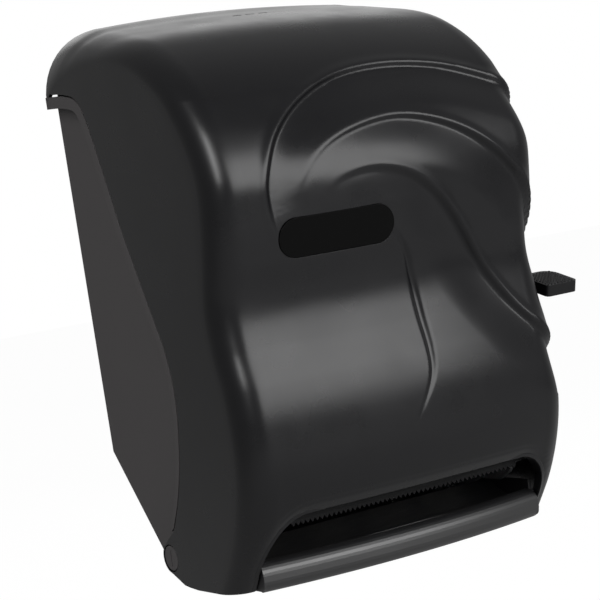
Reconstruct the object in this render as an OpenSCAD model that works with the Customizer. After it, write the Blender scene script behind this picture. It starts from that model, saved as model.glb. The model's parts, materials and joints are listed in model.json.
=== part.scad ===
// Lever paper towel dispenser: wall housing, hinged wave cover, feed rollers and press lever.
// Bench coordinates: X to the right, -Y out of the wall, Z up from the lowest edge of the cover.
// Every sub-part is lowered by screw_mid_z at the end, so the origin is the centre of the wall screws.

/* [Cover] */
// Width of the cover, side face to side face
cover_w = 282; // [276:1:300]
// Height from the bottom of the cover legs to the crown of the cover
cover_h = 420; // [414:1:440]
// Greatest depth of the cover in front of the wall
cover_d = 235; // [230:1:250]
// Wall thickness of the cover
cover_wall = 3; // [2.5:0.1:3.5]
// Radius of the upright front edges
edge_r = 24; // [16:1:28]
// Radius of the two upper corners where the cover meets the wall
top_r = 52; // [44:1:60]
// How far the front face bows forward between its edges
front_bow = 9; // [5:1:12]
// How far the crown of the cover rises between its corners
crown_rise = 8; // [4:1:10]
// Depth of the step that each wave drops by
wave_step = 4.2; // [2:0.2:5]
// Gap between the cover's edge and the rim of the housing
rim_gap = 1.5; // [1:0.1:2.5]

/* [Paper slot] */
// Width of the slot at the bottom, between the two cover legs
slot_w = 254; // [246:1:256]
// Height of the slot's upper edge above the bottom of the legs
slot_top = 52; // [48:1:56]
// How far the lip round the slot reaches inwards
slot_lip = 11; // [8:1:12]

/* [Badge] */
// Length of the bare badge
badge_l = 94; // [70:1:100]
// Height of the badge
badge_h = 28; // [20:1:30]
// Thickness of the badge
badge_t = 2; // [1.5:0.1:2.2]

/* [Housing] */
// Width of the housing, outside its side walls
housing_w = 264; // [260:1:266]
// Wall thickness of the housing
housing_wall = 3; // [2.5:0.1:3.5]
// Width of the rim band on the side walls at the top
rim_band = 9; // [7:0.5:10]
// Spacing of the wall screws across
screw_dx = 152; // [120:1:180]
// Spacing of the wall screws up and down
screw_dz = 228; // [200:1:250]
// Radius of the wall screw holes
screw_hole_r = 2.6; // [2:0.1:3]
// Height of the middle of the wall screws above the bottom of the cover
screw_mid_z = 214; // [210:1:218]

/* [Cover hinge] */
// Distance of the hinge line in front of the wall
hinge_y = 84; // [83:0.5:85]
// Height of the hinge line
hinge_z = 21; // [20:0.5:22]
// Radius of the hinge pins
hinge_pin_r = 4; // [3:0.25:4.5]
// Radius of the round head of a hinge pin
hinge_head_r = 9.3; // [8:0.1:9.5]

/* [Feed rollers] */
// Distance of the drive roller's axis in front of the wall
drive_y = 150; // [148:0.5:151]
// Height of the drive roller's axis
drive_z = 62; // [61:0.5:64]
// Outer radius of the rubber sleeves on the drive roller
drive_r = 16; // [14:0.25:16.5]
// Outer radius of the sleeves on the pinch roller
pinch_r = 9; // [8:0.25:9.5]
// Free gap left for the paper between the two rollers
nip_gap = 0.3; // [0.2:0.05:0.6]
// Radius of the drive shaft
drive_shaft_r = 4; // [3:0.25:4.5]
// Radius of the pinch shaft
pinch_shaft_r = 3; // [2.5:0.25:3.5]
// Width of the paper that the machine takes
paper_w = 203; // [195:1:204]

/* [Lever and gears] */
// Module of the gear teeth
tooth_m = 1.5; // [1.45:0.01:1.55]
// Teeth that the lever's gear would have if it went all the way round
sector_teeth = 64; // [64:1:64]
// Teeth of the pinion on the drive shaft
pinion_teeth = 14; // [14:1:14]
// Face width of the gears
gear_w = 7; // [5:0.5:7.5]
// Travel of the lever in degrees
lever_travel = 40; // [30:1:42]
// Radius of the stud that the lever turns on
stud_r = 5; // [4:0.25:5.5]
// Distance from the stud to the neck where the lever leaves the housing
neck_r = 66; // [64:0.5:67]
// Width of the paddle, measured away from the cover
paddle_w = 30; // [26:1:34]
// Length of the paddle from its front edge back
paddle_l = 34; // [28:1:36]
// Thickness of the paddle
paddle_t = 9; // [7:0.5:10]
// Forward tilt of the paddle at rest, in degrees
paddle_tilt = 16; // [12:1:22]

/* [Roll arms] */
// Largest roll of paper, outer radius
roll_r = 101.5; // [98:0.5:102]
// Distance of the roll's axis in front of the wall
roll_y = 108; // [107:0.5:109]
// Height of the roll's axis
roll_z = 282; // [280:1:284]
// Thickness of a roll arm
arm_t = 3.5; // [3:0.1:4]
// Radius of the plug that enters the core of the roll
plug_r = 17; // [15:0.5:18]
// How far an arm swings outwards, in degrees
arm_swing = 8; // [4:0.5:8.5]

/* [Running fits] */
// Radial clearance of shafts and pins that turn in round holes
run_fit = 0.05; // [0.03:0.01:0.1]

/* [Hidden] */

half_w = cover_w / 2;
wall_gap = 1;
housing_x = housing_w / 2;
inner_x = housing_x - housing_wall;
fn_round = 64;

// ---------- general helpers ----------
function lerp(a, b, t) = a + (b - a) * t;
function clamp01(t) = max(0, min(1, t));
function smooth(t) = let (c = clamp01(t)) c * c * (3 - 2 * c);
function arc(c, r, a0, a1, n) =
    [for (i = [0:n]) let (a = lerp(a0, a1, i / n)) [c[0] + r * cos(a), c[1] + r * sin(a)]];
function spline_at(p0, p1, p2, p3, t) =
    0.5 * (2 * p1 + (p2 - p0) * t + (2 * p0 - 5 * p1 + 4 * p2 - p3) * t * t
        + (3 * p1 - p0 - 3 * p2 + p3) * t * t * t);
// Smooth curve through all points, with n steps between two of them
function through(p, n) = let (m = len(p) - 1)
    concat([for (i = [0:m - 1], k = [0:n - 1])
        spline_at(p[max(0, i - 1)], p[i], p[i + 1], p[min(m, i + 2)], k / n)], [p[m]]);

// Lowers the bench coordinates to the row's origin
module placed() { translate([0, 0, -screw_mid_z]) children(); }
// Plate drawn in side view (distance out of the wall is negative, then height), from x over thickness t
module side_plate(x, t) { translate([x, 0, 0]) rotate([90, 0, 90]) linear_extrude(t) children(); }
// Plate drawn in front view, from y towards the front over thickness t
module front_plate(y, t) { translate([0, y, 0]) rotate([90, 0, 0]) linear_extrude(t) children(); }
// Round bar along X
module bar_x(x0, x1, y, z, r) {
    translate([x0, y, z]) rotate([0, 90, 0]) cylinder(r = r, h = x1 - x0, $fn = fn_round);
}
module ring_x(x0, x1, y, z, r_out, r_in) {
    difference() {
        bar_x(x0, x1, y, z, r_out);
        bar_x(x0 - 1, x1 + 1, y, z, r_in);
    }
}
module both_sides() {
    children();
    mirror([1, 0, 0]) children();
}

// Round wire that follows a list of points, as one closed tube
function tube_ring(p, i, r, n) = let (m = len(p) - 1,
    t = p[min(m, i + 1)] - p[max(0, i - 1)], d = t / norm(t),
    s0 = cross(d, [0.31, 0.17, 0.93]), s = s0 / norm(s0), u = cross(s, d))
    [for (k = [0:n - 1]) p[i] + r * (cos(360 * k / n) * s + sin(360 * k / n) * u)];
module wire(p, r, n = 6) {
    m = len(p);
    rings = [for (i = [0:m - 1], q = tube_ring(p, i, r, n)) q];
    sides = [for (i = [0:m - 2], k = [0:n - 1]) let (a = i * n + k, b = i * n + (k + 1) % n)
        each [[a, b, b + n], [a, b + n, a + n]]];
    caps = concat([for (k = [1:n - 2]) [0, k + 1, k]],
        [for (k = [1:n - 2]) [(m - 1) * n, (m - 1) * n + k, (m - 1) * n + k + 1]]);
    polyhedron(rings, concat(sides, caps), convexity = 8);
}
// Coil spring standing on base, with straight ends one wire thick
function coil(base, r, h, turns, lead) = concat(
    [base + [r, -lead, 0]],
    [for (i = [0:8 * turns]) base + [r * cos(45 * i), r * sin(45 * i), h * i / (8 * turns)]],
    [base + [r, lead, h]]);
function coil_gap(h, turns, wire_r) = h / turns - 2 * wire_r;

// ---------- shape of the cover ----------
// The lower part is drawn in level sections, the dome above fan_z in sections that turn about that line.
fan_z = cover_h - 75;
// How far the front stands back from the greatest depth, from just below the legs up to just above fan_z
setback = [80, 55, 33, 17.5, 8.5, 6.5, 9, 15.5, 17, 10, 3.5, 1, 10, 28, 50];
setback_step = fan_z / 12;
function depth_at(z) = let (s = max(0, min(11.999, z / setback_step)), i = floor(s))
    cover_d - spline_at(setback[i], setback[i + 1], setback[i + 2], setback[i + 3], s - i)
        - (z < 0 ? -z * 0.8 : 0);
// Share of the forward reach that the dome keeps, every 15 degrees from level to upright
dome_share = [1.30, 1, 0.66, 0.33, 0.15, 0.065, 0.018, 0, 0.018];
dome_top = cover_h - fan_z;
function dome_at(a) = let (s = min(5.999, a / 15), i = floor(s))
    lerp(dome_top, depth_at(fan_z),
        spline_at(dome_share[i], dome_share[i + 1], dome_share[i + 2], dome_share[i + 3], s - i));

// Wave lines on the front face: across from the middle (unrolled round the edge), then height.
wave_outer = [[-94, 238], [-101, 262], [-100, 286], [-84, 314], [-55, 336], [-15, 351], [30, 355],
    [75, 350], [112, 338], [138, 326], [158, 308]];
wave_middle = [[-80, 258], [-74, 279], [-54, 299], [-24, 311], [14, 316], [48, 310], [80, 295],
    [110, 271], [134, 244], [158, 206]];
wave_inner = [[-58, 266], [-42, 279], [-14, 283], [14, 276], [38, 260], [58, 237], [76, 210],
    [96, 180], [120, 152], [158, 124]];
wave_tail = [[-4, 243], [9, 222], [15, 200], [17, 176], [17, 150], [13, 128], [-5, 100]];
drawn_w = 282;
drawn_h = 420;
function fitted(c) = [for (p = c) [p[0] * cover_w / drawn_w, p[1] * cover_h / drawn_h]];
wave_steps = 3;
lines = [for (c = [wave_outer, wave_middle, wave_inner, wave_tail]) through(fitted(c), wave_steps)];

// Nearest place on a line: [distance, share of the way along it, side], side is +1 to its right
function near_seg(p, a, b) = let (d = b - a, l = d * d, t = clamp01((p - a) * d / l),
    e = p - (a + t * d), side = (p - a)[0] * d[1] - (p - a)[1] * d[0])
    [norm(e), t, side >= 0 ? 1 : -1];
function near_line(p, c) = let (all = [for (i = [0:len(c) - 2]) near_seg(p, c[i], c[i + 1])],
    dist = min([for (q = all) q[0]]), i = [for (k = [0:len(all) - 1]) if (all[k][0] == dist) k][0])
    [dist, (i + all[i][1]) / (len(c) - 1), all[i][2]];
// A step down on the inner side of a line, which comes back up over the distance fall
function step_down(p, c, rise, land, fall) = let (q = near_line(p, c), d = q[0] * q[2])
    d <= 0 ? 0 : -smooth(q[1] / rise) * smooth(d / land) * (1 - smooth((d - land) / fall));
// Groove that lies on both sides of the tail line, widest below its middle
function tail_groove(p, c) = let (q = near_line(p, c), w = 1 + 4 * sin(180 * q[1]))
    -0.6 * sin(180 * q[1]) * (1 - smooth(q[0] / w));
function relief(p) = p[1] < 92 || p[0] < -112 ? 0 :
    wave_step * max(-1.15, step_down(p, lines[0], 0.2, 6, 30) + step_down(p, lines[1], 0.75, 5, 34)
        + step_down(p, lines[2], 0.6, 6, 40) + tail_groove(p, lines[3]));

// Section at height t; above fan_z the rest of t is the turn of the section in degrees
function section(t) = let (a = max(0, t - fan_z), k = a / 90)
    [a, min(t, fan_z), a > 0 ? dome_at(a) : depth_at(t),
        lerp(edge_r, top_r, pow(k, 1.3)), lerp(front_bow, crown_rise, k)];
// Across one section: side walls (zone 0), rounded edges (zone 1, angle), front face (zone 2)
side_start = 6;
edge_steps = 6;
side_steps = 3;
front_steps = 36;
columns = concat(
    [for (i = [0:side_steps - 1]) [0, i / side_steps, -1]],
    [for (i = [0:edge_steps - 1]) [1, 90 * i / edge_steps, -1]],
    [for (i = [0:front_steps - 1]) [2, -1 + 2 * i / front_steps, 1]],
    [for (i = [0:edge_steps - 1]) [1, 90 - 90 * i / edge_steps, 1]],
    [for (i = [0:side_steps]) [0, 1 - i / side_steps, 1]]);
function on_section(s, col, off, dip) = let (
    w = half_w - off, rho = s[2] - off, r = s[3] - off, flat = w - r,
    rc = rho - s[4] * flat * flat / (w * w) - r, f = col[1],
    raw = col[0] == 0 ? [col[2] * w, lerp(side_start, rc, f), col[2], 0,
            flat + r * PI / 2 + rc - lerp(side_start, rc, f)]
        : col[0] == 1 ? [col[2] * (flat + r * cos(f)), rc + r * sin(f), col[2] * cos(f), sin(f),
            flat + r * (90 - f) * PI / 180]
        : [flat * f, rho - s[4] * flat * flat * f * f / (w * w), 0, 1, flat * f],
    across = col[0] == 2 ? raw[4] : col[2] * raw[4],
    z = s[1] + raw[1] * sin(s[0]),
    m = dip == 0 ? 0 : dip * relief([across, z])
        * (1 - smooth((abs(across) - flat - r * PI / 2) / 14)) - (off > 0 && across > -112 && z > 92 ? 1 : 0),
    x = raw[0] + raw[2] * m, rad = raw[1] + raw[3] * m)
    [x, -rad * cos(s[0]), s[1] + rad * sin(s[0])];
function cover_point(t, col, off, dip) = on_section(section(t), col, off, dip);
// A point of the outer face from its place on the wave lines
function face_point(p) = let (t = p[1] <= fan_z ? p[1] : fan_z + asin((p[1] - fan_z) / depth_at(fan_z)),
    s = section(t), flat = half_w - s[3], a = 90 - (abs(p[0]) - flat) * 180 / (PI * s[3]))
    on_section(s, abs(p[0]) <= flat ? [2, p[0] / flat, 1] : [1, max(0, a), sign(p[0])], 0, 0);

low_steps = 6;
front_rows = 45;
shell_bottom = -2;
front_from = slot_top + 6;
dome_turns = [0, 3, 7, 12, 18, 26, 37, 52, 70, 90];
rows = concat(
    [for (i = [0:low_steps - 1]) lerp(shell_bottom, front_from, i / low_steps)],
    [for (i = [0:front_rows - 1]) lerp(front_from, fan_z, i / front_rows)],
    [for (a = dome_turns) fan_z + a]);

// The whole hood as one closed shell: fine outer face, inner face with every third line of it
module hood_shell() {
    nr = len(rows);
    nc = len(columns);
    mr = (nr - 1) / 3 + 1;
    mc = (nc - 1) / 3 + 1;
    outer = [for (t = rows, c = columns) cover_point(t, c, 0, 1)];
    inner = [for (i = [0:mr - 1], k = [0:mc - 1]) cover_point(rows[3 * i], columns[3 * k], cover_wall, 1)];
    base = nr * nc;
    function o(i, k) = i * nc + k;
    function n(i, k) = base + i * mc + k;
    outer_faces = [for (i = [0:nr - 2], k = [0:nc - 2])
        each [[o(i, k), o(i + 1, k), o(i + 1, k + 1)], [o(i, k), o(i + 1, k + 1), o(i, k + 1)]]];
    inner_faces = [for (i = [0:mr - 2], k = [0:mc - 2])
        each [[n(i, k), n(i + 1, k + 1), n(i + 1, k)], [n(i, k), n(i, k + 1), n(i + 1, k + 1)]]];
    bottom = [for (k = [0:mc - 2]) each concat(
        [for (j = [0:2]) [o(0, 3 * k + j), o(0, 3 * k + j + 1), n(0, k)]],
        [[o(0, 3 * k + 3), n(0, k + 1), n(0, k)]])];
    top = [for (k = [0:mc - 2]) each concat(
        [for (j = [0:2]) [o(nr - 1, 3 * k + j + 1), o(nr - 1, 3 * k + j), n(mr - 1, k)]],
        [[n(mr - 1, k + 1), o(nr - 1, 3 * k + 3), n(mr - 1, k)]])];
    left = [for (i = [0:mr - 2]) each concat(
        [for (j = [0:2]) [o(3 * i + j + 1, 0), o(3 * i + j, 0), n(i, 0)]],
        [[n(i + 1, 0), o(3 * i + 3, 0), n(i, 0)]])];
    right = [for (i = [0:mr - 2]) each concat(
        [for (j = [0:2]) [o(3 * i + j, nc - 1), o(3 * i + j + 1, nc - 1), n(i, mc - 1)]],
        [[o(3 * i + 3, nc - 1), n(i + 1, mc - 1), n(i, mc - 1)]])];
    polyhedron(concat(outer, inner), concat(outer_faces, inner_faces, bottom, top, left, right),
        convexity = 8);
}

// ---------- side view outlines ----------
hinge = [-hinge_y, hinge_z];
roll_axis = [-roll_y, roll_z];
kink_z = 96;
tab_z = cover_h - 50;
leg_r = 11.5;
// Line that the cover's edge and the housing's rim follow, from the wall down to the hinge
rim_line = through([[0, tab_z], [-26, tab_z - 2], [-48, tab_z - 8], [-59, tab_z - 24], [-71, tab_z - 57],
    [-87, 264], [-111, 205], [-124, 172], [-128, 139], [-121, 100], [-109, 68], [-95, 44]], 4);
rim_ease = [for (i = [0:len(rim_line) - 1]) i / (len(rim_line) - 1)];
function normal_at(c, i) = let (d = c[min(len(c) - 1, i + 1)] - c[max(0, i - 1)]) [-d[1], d[0]] / norm(d);
// Line beside another one; positive distances lie towards the wall
function beside(c, near, far) = [for (i = [0:len(c) - 1])
    c[i] + normal_at(c, i) * lerp(near, far, smooth(rim_ease[i]))];
rim_edge = beside(rim_line, 0.01, 0.01);
rim_back = beside(rim_line, rim_band, rim_band * 0.45);
cover_edge = beside(rim_line, -rim_gap, -rim_gap);

// Region of the side view that belongs to the cover
module cover_side() {
    polygon(concat(
        [[-wall_gap, cover_h + 20], [-wall_gap, tab_z + 6]],
        [for (p = cover_edge) if (p[0] < -8) p],
        arc(hinge, leg_r, 60, -80, 10),
        [[-hinge_y - 16, 1.5], [-hinge_y - 34, 0], [-cover_d - 30, 0], [-cover_d - 30, cover_h + 20]]));
}
slot_corner = 31;
slot_draft = 1.5;
leg_straight = 14;
// Upper edge of the slot from left to right, for half a width w and a height h, with n steps a corner
function slot_arch(w, h, n) = let (left = [for (p = arc([0, 0], 1, 180, 90, n))
        [slot_draft - w + slot_corner * (1 + p[0]), leg_straight + (h - leg_straight) * p[1]]])
    concat(left, [for (i = [n:-1:0]) [-left[i][0], left[i][1]]]);
module slot_outline() {
    w = slot_w / 2;
    polygon(concat([[-w, -5], [1 - w, 8]], slot_arch(w, slot_top, 8), [[w - 1, 8], [w, -5]]));
}
// Points round the slot where its lip stands, in front view
lip_out = cover_wall / 2 - 0.2;
function lip_path() = let (w = slot_w / 2 + lip_out)
    concat([[-w, 3]], slot_arch(w, slot_top + lip_out, 4), [[w, 3]]);
// Place of the outer face in front view, straight out of the section without the waves
function face_y(x, z) = let (w = half_w - edge_r)
    abs(x) <= w ? -depth_at(z) + front_bow * x * x / (half_w * half_w)
    : -depth_at(z) + front_bow * w * w / (half_w * half_w)
        + edge_r - sqrt(max(1, edge_r * edge_r - pow(abs(x) - w, 2)));
// Lip that stands inwards round the slot, as one strip with four corners at each station
module slot_lips() {
    path = lip_path();
    m = len(path);
    corners = [for (i = [0:m - 1]) let (
        d = path[min(m - 1, i + 1)] - path[max(0, i - 1)], n = [-d[1], d[0]] / norm(d) * cover_wall / 2,
        a = path[i] + n, b = path[i] - n)
        each [[a[0], face_y(a[0], a[1]) + 1, a[1]], [b[0], face_y(b[0], b[1]) + 1, b[1]],
            [b[0], face_y(b[0], b[1]) + slot_lip, b[1]], [a[0], face_y(a[0], a[1]) + slot_lip, a[1]]]];
    sides = [for (i = [0:m - 2], k = [0:3]) let (a = 4 * i + k, b = 4 * i + (k + 1) % 4)
        each [[a, a + 4, b + 4], [a, b + 4, b]]];
    ends = [[0, 1, 2], [0, 2, 3], [4 * m - 4, 4 * m - 2, 4 * m - 3], [4 * m - 4, 4 * m - 1, 4 * m - 2]];
    polyhedron(corners, concat(sides, ends), convexity = 4);
}
// Rib on the inside of a cover leg, from the hinge boss to another place
module leg_rib(y, z) {
    hull() {
        translate([half_w - 6, -hinge_y, hinge_z]) rotate([0, 90, 0]) cylinder(r = 3, h = 5, $fn = 8);
        translate([half_w - 4, y, z]) rotate([0, 90, 0]) cylinder(r = 1.2, h = 3, $fn = 8);
    }
}

// ---------- badge ----------
badge_x = -47;
badge_z = 242;
badge_lean = atan2(depth_at(badge_z + 12) - depth_at(badge_z - 12), 24);
badge_yaw = atan2(-2 * front_bow * badge_x / (half_w * half_w), 1);
module badge_place(inset) {
    y = -depth_at(badge_z) + front_bow * pow(badge_x / half_w, 2) + inset;
    translate([badge_x, y, badge_z]) rotate([badge_lean, 0, -badge_yaw]) rotate([90, 0, 0]) children();
}
module stadium(l, h, t) {
    for (s = [-1, 1]) translate([s * (l - h) / 2, 0, 0]) cylinder(r = h / 2, h = t, $fn = fn_round);
    translate([-(l - h) / 2, -h / 2, 0]) cube([l - h, h, t]);
}

// ---------- cover ----------
lock_y = 81;
lock_pitch = 11.5;
hinge_boss_x = housing_x + 0.6;
head_t = 2.4;
head_x = half_w - head_t - 0.2;
bush_r = hinge_pin_r + 2;

module front_cover() {
    color([0.09, 0.09, 0.10]) placed() difference() {
        union() {
            intersection() {
                union() {
                    hood_shell();
                }
                side_plate(-half_w - 1, cover_w + 2) cover_side();
            }
            intersection() {
                slot_lips();
                side_plate(-half_w - 1, cover_w + 2) cover_side();
            }
            both_sides() {
                translate([hinge_boss_x, -hinge_y, hinge_z]) rotate([0, 90, 0])
                    cylinder(r = leg_r, h = half_w - cover_wall + 0.2 - hinge_boss_x, $fn = 48);
                leg_rib(-125, 12);
                leg_rib(-118, 40);
                leg_rib(-117, 60);
            }
        }
        front_plate(-100, cover_d) slot_outline();
        both_sides() {
            translate([hinge_boss_x - 1, -hinge_y, hinge_z]) rotate([0, 90, 0])
                cylinder(r = bush_r + 0.15, h = 12, $fn = 48);
            translate([head_x - 0.3, -hinge_y, hinge_z]) rotate([0, 90, 0])
                cylinder(r1 = hinge_head_r + 0.5, r2 = hinge_head_r + 1.5, h = 6, $fn = 48);
        }
        for (s = [-1, 0, 1]) hull() for (e = [-1, 1])
            translate([s * lock_pitch + e * 2.6, -lock_y, cover_h - 30])
                cylinder(r = 1.4, h = 40, $fn = 12);
        badge_place(badge_t + 0.5) stadium(badge_l + 0.6, badge_h + 0.6, 20);
    }
}

module badge_plate() {
    color([0.13, 0.13, 0.14]) placed() badge_place(badge_t + 0.5) stadium(badge_l, badge_h, badge_t);
}

module hinge_bushes() {
    color("dimgray") placed() both_sides()
        ring_x(hinge_boss_x, head_x - 0.3, -hinge_y, hinge_z, bush_r, hinge_pin_r + run_fit);
}

ear_x = inner_x - 3.5;
module hinge_pins() {
    color([0.12, 0.12, 0.13]) placed() both_sides() {
        bar_x(ear_x + 0.3, head_x, -hinge_y, hinge_z, hinge_pin_r);
        difference() {
            bar_x(head_x, head_x + head_t, -hinge_y, hinge_z, hinge_head_r);
            translate([head_x + head_t - 0.8, -hinge_y - 0.6, hinge_z - 6]) cube([2, 1.2, 12]);
        }
    }
}

// ---------- housing ----------
lip_z = hinge_z;
lip_front = -hinge_y - 8;
module housing_side() {
    polygon(concat([[0, kink_z], [0, tab_z - rim_band]],
        [for (p = rim_back) if (p[0] < -6) p],
        arc(hinge, 10, 130, 285, 10),
        [[-62, 17]]));
}
module rim_band_shape() {
    polygon(concat([for (p = rim_edge) if (p[0] < -0.1) p], [[-hinge_y - 7, hinge_z + 20.5]],
        [for (i = [len(rim_back) - 1:-1:0]) if (rim_back[i][0] < -2) rim_back[i]],
        [[0, tab_z - rim_band], [0, tab_z]]));
}
top_w = housing_x - 1;
top_corner = 42;
top_z = cover_h - 12;
module back_outline() {
    c = [top_w - top_corner, top_z - top_corner];
    right = arc(c, top_corner, 0, 90, 12);
    polygon(concat([[-housing_x, kink_z], [housing_x, kink_z], [housing_x, tab_z - 31], [top_w, tab_z - 31]],
        right, [for (i = [12:-1:0]) [-right[i][0], right[i][1]]],
        [[-top_w, tab_z - 31], [-housing_x, tab_z - 31]]));
}
// Shelf between the roll and the crown of the cover, which carries the latch
shelf_z = cover_h - 35.3;
shelf_t = 2.5;
shelf_w = 64;
shelf_reach = 101;
neck_half = 8;
slot_play = 1.5;
arm_pivot_x = 110;
arm_pivot_y = -12;
arm_ear_z = [roll_z - 26, roll_z + 21.3];
arm_ear_t = 4.7;
arm_ear_r = 5;
arm_pin_r = 2.5;
cradle = [-75, 128];
cradle_r = 51;

module lever_slot_cut() {
    // Ring-shaped slot about the lever's stud, as wide as the neck and as long as its travel
    half = neck_half + slot_play;
    side = asin(half / neck_r);
    translate([inner_x - 1, stud[0], stud[1]]) rotate([90, 0, 90])
        rotate([0, 0, neck_angle - side]) rotate_extrude(angle = lever_travel + 2 * side, $fn = 96)
            translate([neck_r - half, 0]) square([2 * half, housing_wall + 2]);
}
module arm_ears() {
    for (z = arm_ear_z) translate([0, 0, z]) difference() {
        union() {
            translate([arm_pivot_x - arm_ear_r, arm_pivot_y, 0])
                cube([2 * arm_ear_r, -arm_pivot_y - 1, arm_ear_t]);
            translate([arm_pivot_x, arm_pivot_y, 0]) cylinder(r = arm_ear_r, h = arm_ear_t, $fn = fn_round);
        }
        translate([arm_pivot_x, arm_pivot_y, -1]) cylinder(r = arm_pin_r + 0.02, h = 7, $fn = fn_round);
    }
}
module back_housing() {
    color([0.20, 0.20, 0.21]) placed() difference() {
        union() {
            front_plate(0, housing_wall) back_outline();
            both_sides() {
                side_plate(inner_x, housing_wall) housing_side();
                side_plate(inner_x, half_w - inner_x) rim_band_shape();
                bar_x(ear_x, inner_x + 1, -hinge_y, hinge_z, 9);
                arm_ears();
            }
            // sloping floor, its front lip and the top shelf for the latch
            side_plate(-inner_x - 1, 2 * inner_x + 2)
                polygon([[0, kink_z], [-62, 17], [lip_front, 17], [lip_front, lip_z], [-63.5, lip_z],
                    [-housing_wall, kink_z + 4]]);
            translate([-shelf_w / 2, -shelf_reach, shelf_z]) cube([shelf_w, shelf_reach - 1, shelf_t]);
            for (x = [-shelf_w / 2, shelf_w / 2 - 3]) side_plate(x, 3)
                polygon([[-2, shelf_z + 1], [-shelf_reach + 8, shelf_z + 1], [-2, shelf_z + 14]]);
            // upright and level ribs that stiffen the back
            for (x = [-96, -40, 38, 94]) translate([x, -housing_wall - 3, kink_z + 8])
                cube([2, 4, tab_z - kink_z - 24]);
            for (z = [150, 336]) translate([-inner_x, -housing_wall - 3, z]) cube([2 * inner_x, 4, 2]);
        }
        for (x = [-1, 1], z = [-1, 1]) translate([x * screw_dx / 2, 1, screw_mid_z + z * screw_dz / 2])
            rotate([90, 0, 0]) cylinder(r = screw_hole_r, h = housing_wall + 6, $fn = fn_round);
        both_sides() bar_x(ear_x - 1, housing_x + 1, -hinge_y, hinge_z, hinge_pin_r + 0.02);
        lever_slot_cut();
        screw_down_holes(lip_z - 8, lip_z + 1);
        cradle_screw_holes();
        for (x = [-1, 1]) translate([x * post_x, -lock_y, shelf_z - 1])
            cylinder(r = post_r + 0.02, h = shelf_t + 2, $fn = 32);
    }
}

// ---------- cover latch ----------
// Drawn pressed down, as by the key; the spring lifts it so that its hook stands before the cover's strike
post_x = 24;
post_r = 2;
slide_t = 2.2;
slide_w = 58;
hook_w = 38;
hook_rise = 2;
latch_room = 2.8;
latch_travel = 2.6;
latch_plate_z = shelf_z + shelf_t + latch_room;
strike_y = -68;
strike_t = 2.5;
strike_w = 40;
strike_z = latch_plate_z + slide_t + latch_travel + 0.4;
hook_gap = 1.5;
hook_t = 3;
// Height of the cover's inner face over the middle of the shelf, at distance y from the wall plane
function roof_z(y) = let (p = [for (a = [0:1:90]) cover_point(fan_z + a, [2, 0, 1], cover_wall, 0)],
    i = [for (k = [0:89]) if (p[k][1] <= y && p[k + 1][1] > y) k][0])
    lerp(p[i][2], p[i + 1][2], (y - p[i][1]) / (p[i + 1][1] - p[i][1]));
module lock_strike() {
    color([0.15, 0.15, 0.16]) placed() translate([-strike_w / 2, strike_y, strike_z])
        cube([strike_w, strike_t, roof_z(strike_y) - 2.1 - strike_z]);
}
module latch_guide_posts() {
    neck = shelf_t + latch_room + slide_t + latch_travel + 0.5;
    color("silver") placed() for (x = [-1, 1]) translate([x * post_x, -lock_y, shelf_z]) {
        cylinder(r = post_r, h = neck + 1.5, $fn = 32);
        translate([0, 0, neck]) cylinder(r = post_r + 1, h = 1.5, $fn = 32);
    }
}
module latch_slide() {
    color([0.75, 0.62, 0.15]) placed() translate([0, 0, latch_plate_z]) difference() {
        union() {
            translate([-slide_w / 2, -lock_y - 9, 0]) cube([slide_w, 24, slide_t]);
            translate([-hook_w / 2, strike_y - hook_gap - hook_t, slide_t - 0.2])
                cube([hook_w, hook_t, hook_rise + 0.2]);
            for (s = [-1, 0, 1]) translate([s * lock_pitch, -lock_y, slide_t - 0.2])
                cylinder(r = 3.2, h = hook_rise + 0.4, $fn = 32);
        }
        for (x = [-1, 1]) translate([x * post_x, -lock_y, -1])
            cylinder(r = post_r + run_fit, h = slide_t + 2, $fn = 32);
    }
}
latch_turns = 2;
module latch_spring() {
    wire_r = 0.3;
    h = latch_room - 2 * wire_r - 0.1;
    gap = coil_gap(h, latch_turns, wire_r);
    echo(latch_spring_gap = gap);
    color("silver") placed()
        wire(coil([0, -lock_y, shelf_z + shelf_t + wire_r + 0.05], 4.5, h, latch_turns, 0.8), wire_r);
}

// ---------- paper chute with its front bar ----------
chute_x = slot_w / 2 - 3;
bar_front = 198;
bar_bow = 14;
bar_r = (pow(chute_x, 2) + pow(bar_bow, 2)) / (2 * bar_bow);
bar_angle = asin(chute_x / bar_r);
floor_z = lip_z + 3;
trough = [-160, 60];
trough_r = 45;
function trough_z(y) = trough[1] - sqrt(trough_r * trough_r - pow(y - trough[0], 2));
module chute_section() {
    top = [for (i = [0:12]) let (y = lerp(-129, -180, i / 12)) [y, trough_z(y)]];
    polygon(concat([[-66, floor_z]], [[-120, floor_z]], top,
        [for (i = [12:-1:0]) top[i] - [0, 3]], [[-121, floor_z - 3], [-66, floor_z - 3]]));
}
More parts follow.
